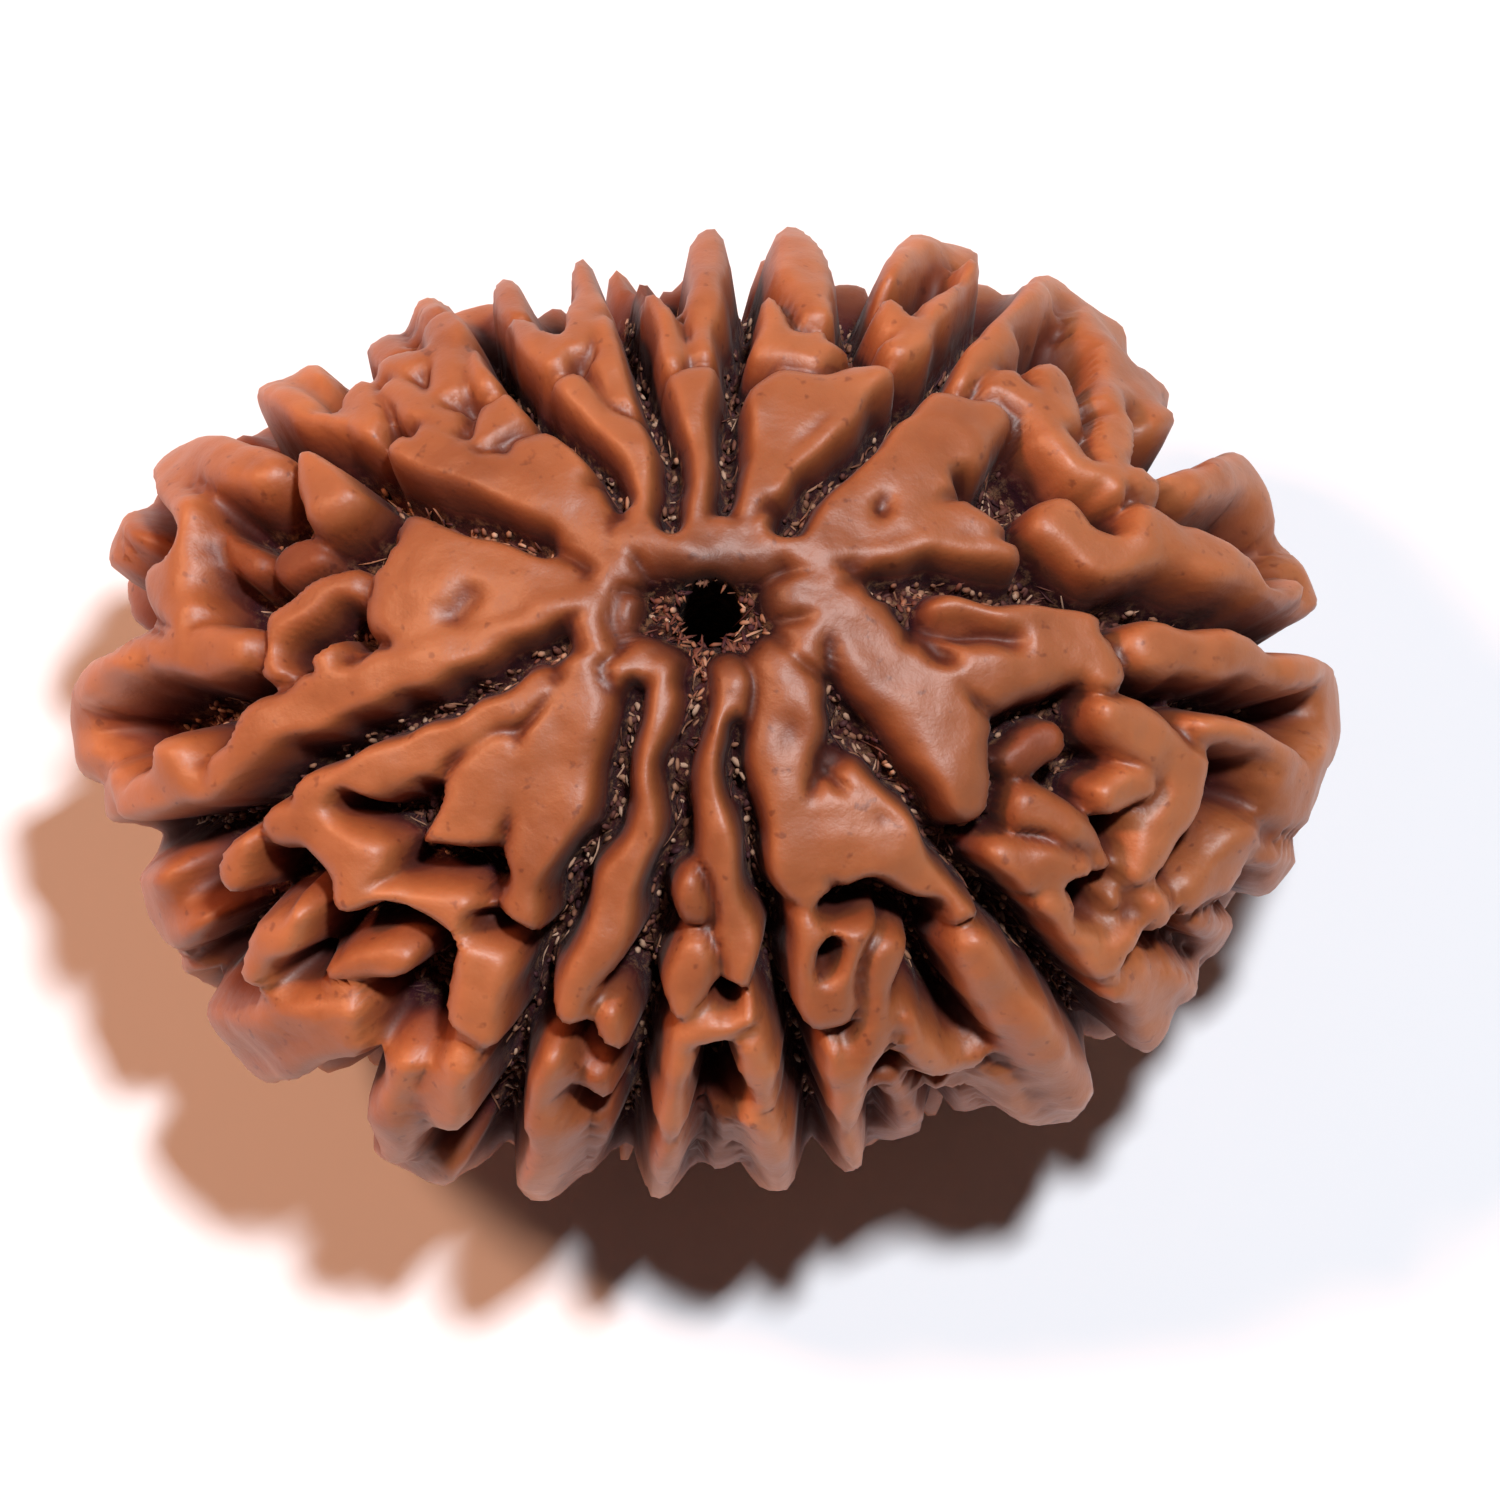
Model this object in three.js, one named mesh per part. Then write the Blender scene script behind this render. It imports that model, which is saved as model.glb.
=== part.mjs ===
// Eleven mukhi rudraksha: the dried stone of a rudraksha fruit, one knobbly oblong bead.
// Eleven grooves run from the mouth of the natural thread hole at the top, over the rim,
// to the mouth at the bottom.  Between the grooves the shell stands up in wormy, rounded
// ridges with deep crevices between them.
// Millimetres.  +X is the long way, +Z is up along the thread hole, the bead rests on a
// small flat spot worn on its underside.

import {
  Group, Mesh, MeshStandardMaterial, TorusGeometry, Vector3,
} from "three";
import { mergeVertices } from "three/addons/utils/BufferGeometryUtils.js";
import { SimplifyModifier } from "three/addons/modifiers/SimplifyModifier.js";

// Overall body: half sizes of the smooth egg that the ridge tops reach.
const HALF_LENGTH = 13.35;
const HALF_WIDTH = 10.5;
const HALF_HEIGHT = 8.7;

// The rim isn't a true oval: [angle round, how far it stands out there], in order.
const RIM_SWELL = [
  [-180, 0.2], [-157, 0], [-138, 0.7], [-114, 0.9], [-95, 0.1], [-76, 0], [-64, -0.4],
  [-55, 0.3], [-38, -0.3], [-27, -0.4], [-15, 0], [5, 0], [30, 0], [43, -0.1], [51, 0.3], [61, 0.7],
  [75, 0.3], [90, 0.1], [102, -0.1], [117, -0.2], [130, -0.3], [138, -0.1], [148, 0.4],
  [160, 0.6], [172, 0.3], [180, 0.2],
];

// Notches that cut through the rim: middle angle and half width in degrees.
const NOTCHES = [[36.7, 4], [-128, 4.5]];

// Depth of the crevice floor under the ridge tops, near the mouths and at the rim.
const CREVICE_AT_MOUTH = 0.85;
const CREVICE_AT_RIM = 2.5;

// A ridge's foot spreads this far beyond its drawn half width, and its top turns flat this
// far in from the foot, so a narrow ridge is round and a wide one is a plate.  Grooves and
// holes have round lips that spread a little less.  Near the rim feet are
// narrower and tops rounder.
const FOOT = 0.45;
const FOOT_AT_RIM = 0.27;
const LIP = 0.2;
const SHOULDER = 0.85;
const SHOULDER_AT_RIM = 1.25;

// A ridge rises along a quarter circle, power 2, where it is as wide as it is tall, and
// blunter, by this power of its steepness, where it is taller.
const BLUNTNESS = 0.55;

// Where two ridges lean on each other, a crease cuts down between them: how strongly, and
// how close their heights have to be.
const CREASE = 0.3;
const CREASE_WIDTH = 0.25;

// Walls lean a little, since each place takes the mean of places this far round it.
const SOFTNESS = 0.13;
const SOFTNESS_AT_RIM = 0.32;
const PLACES = 12;

// Edges waver by about this much to each side, as grown ones do.
const WAVER = 0.07;
const QUIVER = 0.05;

// The eleven grooves cut a little below the crevice floor.
const GROOVE_EXTRA = 0.14;

// The thread hole runs straight through, a hair to the left of the middle.
const HOLE_RADIUS = 0.75;
const HOLE_X = -0.1;

// The underside is worn flat by this much.
const WORN_FLAT = 0.8;

// The ridges are laid out on a drawing plane that leans back from level, across the line
// of sight 75 degrees above the horizon: u to the right, v up the plane.
const SIGHT_ANGLE = 75 * Math.PI / 180;

// Seen at the edge the pattern is squeezed flat, so from this angle off the line of sight
// outwards it is drawn out over the rim, to meet the far side's beyond the edge.
const RIM_START = 66;
const RIM_STRETCH = 0.32;
const FAR_START = 96;
const FAR_FULL = 108;
const DRAWN_LIMIT = 75;

// Fineness of the first grid, and the triangles kept once flat places are thinned.
const COLUMNS = 330;
const ROWS = 180;
const HOLE_SHARE = 0.07;
const TRIANGLES = 11800;

// Each groove is a line of [u, v, half width] from the mouth out to the rim.
const GROOVES = [
  [[-3.2, 1.5, 0.3], [-4, 1.2, 0.3], [-5, 0.65, 0.3], [-6, 0.15, 0.3], [-7, -0.25, 0.3],
    [-8, -0.75, 0.3], [-9, -1.15, 0.3], [-10, -2.05, 0.3], [-11, -2.65, 0.3], [-12, -2.75, 0.3]],
  [[-3.6, 3.7, 0.25], [-4.5, 4.1, 0.3], [-5.5, 4.4, 0.3], [-6.5, 4.75, 0.3], [-7.2, 5, 0.3],
    [-7.6, 5.4, 0.3], [-8.2, 5.7, 0.3], [-8.9, 5.9, 0.3], [-9.6, 6.05, 0.3], [-10.8, 6.3, 0.3]],
  [[-1.95, 4.5, 0.2], [-2.3, 5.1, 0.25], [-2.8, 5.7, 0.25], [-3.3, 6.2, 0.25], [-3.8, 6.7, 0.25],
    [-4.2, 7.2, 0.25], [-4.7, 7.8, 0.25], [-4.9, 8.3, 0.25]],
  [[-0.85, 4.1, 0.2], [-0.9, 4.8, 0.25], [-1, 5.6, 0.25], [-1.15, 6.4, 0.25], [-1.4, 7.2, 0.25],
    [-1.65, 8, 0.25], [-1.9, 8.6, 0.25]],
  [[0.25, 4.6, 0.25], [0.3, 5.5, 0.3], [0.35, 6.3, 0.25], [0.4, 7, 0.15], [0.35, 7.6, 0.25],
    [0.4, 8.3, 0.3], [0.6, 9, 0.3], [0.75, 9.4, 0.3]],
  [[1.6, 3.9, 0.25], [2, 4.7, 0.4], [2.4, 5.2, 0.25], [2.7, 5.5, 0.25], [3.2, 5.9, 0.25],
    [3.7, 6.4, 0.25], [4.2, 6.9, 0.25], [4.6, 7.3, 0.25], [4.9, 7.6, 0.25], [5.2, 8.1, 0.25],
    [5.6, 8.6, 0.25], [6.3, 9.3, 0.25]],
  [[3.5, 2.8, 0.3], [4.5, 2.85, 0.35], [5.5, 2.85, 0.35], [6.5, 2.7, 0.35], [7.5, 2.65, 0.35],
    [8.5, 2.45, 0.35], [9.5, 2.4, 0.35], [10.3, 2.4, 0.35], [11, 2.25, 0.35], [11.7, 2.05, 0.35],
    [12.3, 1.7, 0.35], [12.6, 1.5, 0.35]],
  [[2.6, 0.1, 0.3], [3.2, -0.6, 0.35], [4, -1.5, 0.35], [4.7, -2.5, 0.35], [5.3, -3.2, 0.35],
    [5.9, -3.9, 0.35], [6.5, -4.6, 0.35], [7.1, -5.3, 0.35], [7.6, -6.1, 0.35],
    [8.1, -6.8, 0.35], [8.4, -7.5, 0.35]],
  [[0.45, -0.3, 0.15], [0.5, -1, 0.2], [0.55, -1.7, 0.22], [0.65, -2.4, 0.22], [0.8, -3.1, 0.22],
    [1, -3.7, 0.25], [1.2, -4.3, 0.28], [1.3, -5, 0.3], [1.3, -6.4, 0.3], [1.6, -7.1, 0.3],
    [1.9, -7.6, 0.3], [1.95, -8.2, 0.3], [2, -8.8, 0.3]],
  [[-0.35, 0.9, 0.2], [-0.45, 0.2, 0.25], [-0.6, -0.5, 0.3], [-0.8, -1.2, 0.3], [-0.85, -2, 0.3],
    [-0.85, -2.8, 0.3], [-1, -3.4, 0.3], [-1.2, -4, 0.3], [-1.3, -4.7, 0.3], [-1.4, -5.5, 0.3],
    [-1.4, -6.3, 0.3], [-1.5, -7, 0.3], [-1.6, -8.1, 0.3]],
  [[-1.7, 0.4, 0.2], [-1.8, -0.3, 0.25], [-1.9, -1, 0.3], [-2, -1.8, 0.3], [-2.3, -2.5, 0.3],
    [-2.7, -3.1, 0.3], [-3, -3.6, 0.3], [-3.2, -4.2, 0.3], [-3.4, -4.9, 0.3], [-3.6, -5.5, 0.3],
    [-3.8, -6.2, 0.3], [-4, -6.8, 0.3], [-4.3, -7.5, 0.3], [-4.4, -8.2, 0.3], [-4.7, -9.4, 0.3]],
];

// Each ridge is its height (1 reaches the egg) and a line of [u, v, half width].
const COLLAR = [
  [1, [-1.9, 3.6, 0.5], [-1, 3.75, 0.6], [0, 3.75, 0.6], [1, 3.7, 0.6], [1.8, 3.4, 0.5]],
  [1, [1.8, 3.3, 0.5], [2.4, 2.9, 0.5], [2.3, 2, 0.5], [1.9, 1.2, 0.35]],
  [1, [-2, 3.3, 0.4], [-2.5, 2.7, 0.4], [-2.6, 1.9, 0.35], [-2.4, 1.2, 0.3]],
];
const LEFT = [
  [1, [-3.2, 2.7, 0.5], [-4.6, 2.7, 1.1], [-5.9, 2.6, 1.5]],
  [1, [-4.5, 3.1, 0.6], [-6.2, 3.6, 0.6]],
  [1, [-6.3, 3.5, 0.5], [-6.6, 2.4, 0.55], [-6.3, 1.5, 0.6]],
  [1.05, [-2.9, 2.4, 0.35], [-4.5, 1.75, 0.4], [-6, 1.1, 0.45], [-7.2, 0.55, 0.5]],
  [0.9, [-2.2, 2.2, 0.3], [-2.4, 1.2, 0.3]],
  [1, [-7.2, 0.5, 0.5], [-8, 0.35, 0.7], [-9, -0.15, 0.65], [-9.9, -0.6, 0.6], [-10.3, -1.3, 0.5],
    [-11, -1.9, 0.5]],
  [1, [-8.1, 0.5, 0.5], [-8.4, 1.3, 0.3]],
  [1.1, [-11.5, -0.8, 0.45], [-11.4, -1.5, 0.7], [-11.9, -1.9, 0.6]],
  [1, [-12.4, -1.6, 0.4], [-12.5, -2.8, 0.4]],
  [1, [-12.9, -2.4, 0.3], [-12.8, -3.5, 0.3]],
  [0.9, [-7.9, 2.7, 0.2], [-8.7, 2.25, 0.3], [-9.3, 1.8, 0.3], [-9.5, 1, 0.3]],
  [1, [-12, 1.2, 0.5], [-11, 1.3, 0.6], [-10.2, 1.3, 0.45]],
  [1.15, [-12.4, 0.7, 0.35], [-12.9, 0, 0.4], [-13, -0.9, 0.55]],
  [1, [-11.1, 4.9, 0.6], [-10.3, 5.3, 0.75], [-9.6, 5, 0.5]],
  [1, [-11.1, 4.9, 0.5], [-11.1, 4, 0.35], [-11.3, 3.2, 0.45], [-11.5, 2.4, 0.7], [-11.3, 2, 0.6]],
  [1, [-11.6, 5.2, 0.4], [-12.2, 4.5, 0.5], [-12.2, 3.7, 0.5]],
  [1, [-12.4, 3.1, 0.25], [-12.4, 3.2, 0.25]],
  [1.15, [-8.45, 5.25, 0.38], [-8, 4.6, 0.65]],
  [0.7, [-9.5, 3.3, 0.25], [-8.9, 3.5, 0.3]],
  [0.75, [-11, 3.8, 0.25], [-10.2, 3.3, 0.25]],
];
const BACK_LEFT = [
  [1, [-2.4, 3.1, 0.4], [-2.6, 3.9, 0.5], [-3.3, 4.6, 0.6], [-4.6, 5, 0.65], [-5.8, 5.3, 0.5],
    [-6.7, 5.6, 0.4]],
  [1, [-3.2, 5.1, 0.6], [-4, 5.4, 0.55]],
  [1, [-5.4, 5.6, 0.4], [-6.2, 5.9, 0.3]],
  [1, [-4.9, 5.9, 0.3], [-4.5, 6.5, 0.45], [-4.1, 6.9, 0.35]],
  [1, [-4.9, 7.2, 0.4], [-4.9, 7.9, 0.35]],
  [1, [-5.7, 7, 0.45], [-5.8, 8.3, 0.52]],
  [1, [-6.4, 7.6, 0.45], [-7, 7.6, 0.4]],
  [1, [-6.9, 7.1, 0.35], [-6.2, 6.6, 0.45], [-5.7, 6.2, 0.3]],
  [1, [-7.7, 7, 0.45], [-7.5, 6.5, 0.5], [-7.7, 6.1, 0.42]],
  [1, [-8.1, 6.3, 0.3], [-9.1, 6.3, 0.3]],
  [1, [-9.6, 6.5, 0.55], [-9.2, 6.7, 0.45], [-8.8, 6.6, 0.3]],
  [1, [-10.3, 6.1, 0.25], [-10.4, 6, 0.25]],
  [1, [-1.6, 3.7, 0.4], [-1.45, 4.6, 0.3], [-1.6, 5.5, 0.42], [-2.2, 6.05, 0.5],
    [-2.9, 6.85, 0.35]],
  [1, [-1.9, 6.8, 0.38], [-2.1, 7.5, 0.5], [-2.3, 8.3, 0.35]],
  [1, [-3.1, 7.8, 0.4], [-2.8, 8.6, 0.45], [-2.65, 9.3, 0.45]],
  [1, [-3.4, 7.6, 0.45], [-3.8, 7.9, 0.4], [-4.3, 8.35, 0.33], [-4.9, 8.5, 0.3]],
  [0.9, [-4.4, 8.9, 0.3], [-5, 10.4, 0.4]],
  [1, [-6, 8.6, 0.4], [-6.9, 9.9, 0.45]],
  [0.85, [-7, 7.9, 0.35], [-8.1, 9.2, 0.4]],
  [1, [-8.5, 7.2, 0.35], [-10.2, 8.4, 0.45]],
];
const BACK = [
  [1, [-0.35, 4, 0.4], [-0.4, 5, 0.28], [-0.5, 6, 0.42], [-0.4, 6.9, 0.6]],
  [1, [-1, 7.6, 0.4], [-1.3, 8.2, 0.4], [-1.6, 8.75, 0.4]],
  [0.6, [-1.75, 9.4, 0.25], [-1.9, 10.8, 0.35]],
  [1, [-0.25, 7.8, 0.4], [-0.1, 8.8, 0.42], [-0.05, 9.7, 0.38]],
  [1, [0.8, 4.2, 0.4], [1.1, 5.2, 0.45], [1.4, 6.2, 0.75], [2, 6.7, 0.8], [2.9, 6.8, 0.6],
    [3.5, 7, 0.35]],
  [1, [1.2, 4.7, 0.3], [2, 5.6, 0.3], [2.8, 6.2, 0.35], [3.3, 6.8, 0.35]],
  [1, [1, 8.8, 0.3], [1.2, 8, 0.45], [2, 7.85, 0.5], [2.5, 8, 0.3]],
  [1, [1.45, 9.9, 0.5], [1.9, 9.3, 0.6], [2.3, 8.6, 0.5]],
  [1, [3.6, 8.6, 0.35], [4.2, 8.1, 0.5]],
  [1, [5.2, 8.8, 0.3], [4.5, 8.2, 0.45], [4, 7.8, 0.3]],
  [1, [3.3, 9.2, 0.3], [4.2, 9.3, 0.35], [4.9, 9.7, 0.45], [5.4, 9.9, 0.4]],
];
const BACK_RIGHT = [
  [1, [1.9, 3.2, 0.5], [2.8, 3.9, 0.7], [3.8, 4.6, 1], [4.6, 5.6, 0.9], [5.2, 6.3, 0.7],
    [5.9, 6.4, 0.35]],
  [1, [2.2, 3.4, 0.4], [3.5, 3.55, 0.35], [4.8, 3.55, 0.35], [6, 3.45, 0.3]],
  [1, [3.8, 4.2, 0.7], [5, 4, 0.5], [5.7, 3.9, 0.4]],
  [1, [5.5, 7.4, 0.5], [6, 8, 0.55], [6.6, 8.5, 0.4]],
  [1, [6.3, 7, 0.6], [7, 6.6, 0.55], [7.3, 5.9, 0.5], [7.7, 5.4, 0.4], [8.2, 5.2, 0.35]],
  [1, [7.3, 7.1, 0.5], [7.4, 6.5, 0.5]],
  [1, [6.9, 8.6, 0.35], [7.1, 9.2, 0.45], [7.3, 9.4, 0.4]],
  [1, [7.5, 8.9, 0.35], [7.5, 9, 0.35]],
  [1, [7.6, 8, 0.35], [8.1, 7.7, 0.35], [8.4, 7.2, 0.35], [8.6, 6.6, 0.4]],
  [1.1, [8.3, 7.7, 0.1], [8.8, 8.1, 0.12]],
  [1, [8.6, 6.9, 0.5], [9.2, 7, 0.6], [9.4, 6.5, 0.5]],
  [1, [8.7, 6.3, 0.4], [8.5, 5.6, 0.35], [8.6, 4.9, 0.3]],
  [1, [7.6, 4, 0.55], [8, 3.5, 0.5], [8.8, 3.4, 0.45], [9.5, 3.8, 0.65], [10.4, 3.5, 0.75],
    [11.3, 3, 0.6], [12, 2.6, 0.45]],
  [1, [10.4, 4.9, 0.4], [11.1, 5.1, 0.55], [11.6, 4.6, 0.5], [12.2, 4.2, 0.35],
    [13.2, 5, 0.45]],
  [0.9, [12.5, 3.2, 0.3], [13.6, 3.6, 0.35]],
  [1, [9.1, 4.9, 0.3], [9.8, 5, 0.35], [10.2, 5.1, 0.3]],
  [1, [12.3, 3.4, 0.35], [12.5, 2.6, 0.4], [12.6, 1.9, 0.35]],
];
const RIGHT = [
  [1, [1.9, 2.5, 0.55], [2.6, 2.3, 0.65], [3.2, 1.6, 0.6], [3.8, 0.9, 0.7], [4.5, 0.3, 0.8],
    [5, -0.4, 0.75], [5.1, -1.3, 0.6], [5.2, -1.8, 0.4]],
  [1, [4.4, 1, 0.5], [5.5, 0.8, 0.5], [6.5, 1.1, 0.6], [7.5, 1.5, 0.7], [8.1, 1.4, 0.5],
    [8.3, 1, 0.4]],
  [1, [5.1, 2.1, 0.28], [6, 2, 0.35], [7.2, 1.95, 0.4], [8, 1.8, 0.4]],
  [1, [9.2, 1.4, 0.45], [10, 1.2, 0.5], [11, 1.3, 0.6], [11.9, 1.1, 0.5]],
  [1.05, [12.3, 1, 0.45], [12.9, 0.8, 0.4], [13.2, 0.2, 0.35], [12.8, -0.7, 0.4],
    [12.6, -1.1, 0.3]],
  [1, [10.6, -0.2, 0.3], [11.3, -0.4, 0.4], [12, -0.9, 0.4], [12.4, -1.7, 0.45],
    [12.2, -2.3, 0.45]],
  [1, [8.5, 0, 0.3], [9, -0.4, 0.45], [9.7, -1, 0.7], [10.2, -1.2, 0.75], [10, -2.2, 0.9],
    [9.6, -3, 0.7], [9.2, -3.6, 0.4]],
  [1, [8.5, -1.8, 0.3], [9.2, -1.7, 0.4]],
  [1, [11.6, -2.9, 0.5], [11, -3.6, 0.6], [10.4, -4.2, 0.5]],
  [0.7, [6.7, -1.1, 0.25], [7.3, -0.7, 0.25]],
  [0.95, [6.8, -2.2, 0.35], [7.4, -2.5, 0.4], [8, -3.2, 0.45], [8.3, -3.5, 0.3]],
  [1, [6.1, -3.2, 0.3], [6.6, -3.5, 0.5], [7.3, -3.4, 0.6], [7.9, -3.4, 0.4]],
  [1, [7.2, -4, 0.35], [7.6, -4.6, 0.3], [8, -5.2, 0.35], [8.5, -5.5, 0.4]],
  [1, [8.4, -5.3, 0.45], [8.9, -4.9, 0.4]],
  [1, [8.7, -6, 0.5], [9.3, -6.1, 0.65], [9.2, -6.9, 0.6]],
  [1, [9.5, -4.2, 0.35], [9.7, -4.6, 0.35]],
  [0.9, [8.7, -4.2, 0.3], [8.8, -4.2, 0.3]],
  [1, [8.3, -7.9, 0.3], [8.3, -8, 0.3]],
  [1, [11.9, -3.2, 0.35], [13.4, -4.4, 0.4]],
  [0.9, [10.8, -4.8, 0.35], [12.6, -6.2, 0.45]],
  [1, [9.9, -5.9, 0.4], [11.4, -7.6, 0.45]],
];
const FRONT_RIGHT = [
  [1, [1.5, 0.9, 0.45], [1.6, 0, 0.55], [1.5, -1, 0.5], [1.6, -2, 0.55], [1.8, -3, 0.7],
    [2.1, -3.8, 0.5]],
  [1, [2, -2.3, 0.5], [3, -2, 0.5], [3.5, -1.9, 0.4]],
  [1, [2.5, -2.8, 0.8], [3.5, -3, 0.8], [4.3, -3.4, 0.6], [5, -4, 0.4]],
  [1, [3.1, -1.5, 0.25], [3.9, -2.2, 0.3], [4.7, -3.2, 0.35], [5.2, -4.2, 0.35]],
  [0.6, [2.5, -1.3, 0.3], [2.6, -1.3, 0.3]],
  [1, [1.9, -4.5, 0.4], [1.8, -5.5, 0.4], [2, -6.4, 0.5], [2.6, -6.2, 0.5], [2.8, -5.3, 0.35],
    [3, -4.6, 0.3]],
  [1, [3.7, -5.3, 0.35], [3.6, -6.3, 0.32], [3.3, -7.3, 0.35], [2.8, -8.3, 0.45],
    [2.6, -9.3, 0.4], [2.9, -11, 0.45]],
  [0.8, [4, -8.3, 0.3], [4.4, -10.5, 0.45]],
  [0.8, [5.5, -8.9, 0.3], [6.2, -10, 0.45]],
  [1, [2.5, -7.4, 0.35], [2.6, -8.2, 0.45]],
  [1, [5.3, -5.1, 0.35], [5.9, -5.6, 0.6], [6.4, -6.5, 0.8], [7.1, -7.4, 0.7], [7.5, -8.4, 0.6]],
  [1, [6.3, -8.2, 0.35], [7, -8.9, 0.3]],
  [1, [4.2, -6.7, 0.3], [4.4, -7.3, 0.4], [5, -7.8, 0.45], [5.6, -7.9, 0.4]],
  [0.9, [5.05, -8.6, 0.15], [5.1, -8.6, 0.15]],
  [0.9, [5.6, -8.4, 0.2], [5.7, -8.4, 0.2]],
];
const FRONT = [
  [1, [0.35, 0.6, 0.35], [0.15, -0.2, 0.2], [0.1, -1.2, 0.17], [0.15, -2.2, 0.25],
    [0.35, -3.2, 0.35], [0.55, -4.2, 0.42], [0.6, -5.2, 0.5], [0.75, -5.7, 0.3]],
  [0.9, [-0.4, -3.9, 0.35], [-0.4, -4.3, 0.35]],
  [1, [-0.4, -5.4, 0.4], [-0.7, -6.1, 0.35], [-0.7, -6.4, 0.25]],
  [1, [-0.9, -7.2, 0.3], [-0.3, -6.9, 0.3], [0.3, -6.6, 0.3], [0.9, -6.4, 0.25]],
  [1, [-0.8, -7.4, 0.35], [-0.9, -8.3, 0.4], [-1.1, -9, 0.33], [-1.15, -10.4, 0.4]],
  [1, [0.6, -7.2, 0.3], [1.1, -8, 0.38], [1.2, -8.4, 0.3]],
  [1, [0.9, -8.8, 0.35], [1.2, -9.4, 0.45], [1.4, -9.7, 0.35], [1.5, -10.8, 0.45]],
  [1, [1.15, -6.7, 0.15], [1.3, -7.1, 0.15]],
  [1, [-1, 0.8, 0.3], [-1.2, 0.2, 0.25], [-1.25, -0.6, 0.2], [-1.35, -1.5, 0.25],
    [-1.5, -2.4, 0.35], [-1.8, -3.2, 0.45], [-2, -4.1, 0.45], [-2.4, -4.8, 0.5],
    [-2.8, -5.5, 0.4], [-3.1, -6.3, 0.33]],
  [1, [-2, 0.8, 0.25], [-1.5, 0.95, 0.25], [-1, 0.85, 0.3]],
  [0.95, [-2.1, -6.6, 0.35], [-2, -7.1, 0.35]],
  [0.85, [-2.5, -7.9, 0.35], [-2.2, -8.2, 0.35]],
  [1, [-3.5, -7.4, 0.35], [-3.6, -8.1, 0.4], [-3.5, -8.8, 0.5], [-3.6, -9.4, 0.4],
    [-3.9, -11, 0.5]],
  [0.8, [-2.3, -9, 0.3], [-2.6, -11, 0.4]],
  [0.75, [0.2, -9.2, 0.25], [0.1, -11, 0.35]],
  [0.9, [-4.15, -10.1, 0.22], [-4.2, -10.1, 0.22]],
];
const FRONT_LEFT = [
  [1, [-2.7, 0.9, 0.35], [-3, 0.2, 0.6], [-3.3, -0.8, 0.8], [-3.6, -2, 0.9], [-3.7, -2.9, 0.7],
    [-4, -3.7, 0.4], [-4, -4.2, 0.4]],
  [1, [-3.6, 0.5, 0.35], [-5, -0.15, 0.45], [-6.5, -0.9, 0.5], [-7.8, -1.4, 0.5],
    [-8.7, -1.9, 0.45]],
  [1, [-4.6, -1.2, 0.8], [-5.2, -2.2, 0.7], [-6, -2.4, 0.4]],
  [1, [-9.3, -2.4, 0.6], [-8.6, -2.3, 0.45], [-7.9, -2.9, 0.5], [-7.4, -3.3, 0.65],
    [-7.5, -3.8, 0.5]],
  [1, [-10.1, -2.9, 0.3], [-10.2, -3.5, 0.33]],
  [1, [-7, -4, 0.3], [-6.2, -3.95, 0.35], [-5.4, -4.3, 0.35], [-5, -4.9, 0.4], [-4.8, -5.7, 0.6],
    [-5, -6.4, 0.6]],
  [1, [-6.4, -7.2, 0.35], [-6.5, -8, 0.5], [-6.3, -8.4, 0.4]],
  [1, [-5.3, -7.3, 0.5], [-5.5, -8.2, 0.55]],
  [1, [-6.8, -8.9, 0.35], [-6.3, -9.6, 0.5], [-5.6, -10, 0.45], [-5.3, -9.4, 0.5]],
  [1.1, [-8.7, -4.3, 0.35], [-9.3, -4.8, 0.5], [-9.4, -5.3, 0.4]],
  [0.9, [-6.6, -5.2, 0.35], [-7.3, -5.3, 0.4], [-8, -5.7, 0.33]],
  [1, [-11.8, -3.5, 0.5], [-11.6, -4.2, 0.6], [-11.1, -4.6, 0.5]],
  [1, [-10, -6, 0.3], [-9.5, -6.3, 0.4], [-8.5, -6.2, 0.35], [-7.5, -6.2, 0.3]],
  [1, [-10.5, -6.8, 0.5], [-9.5, -6.9, 0.6], [-8.5, -6.9, 0.5], [-7.6, -6.6, 0.5]],
  [1, [-10.9, -5.4, 0.3], [-10.8, -6.4, 0.35]],
];

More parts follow.
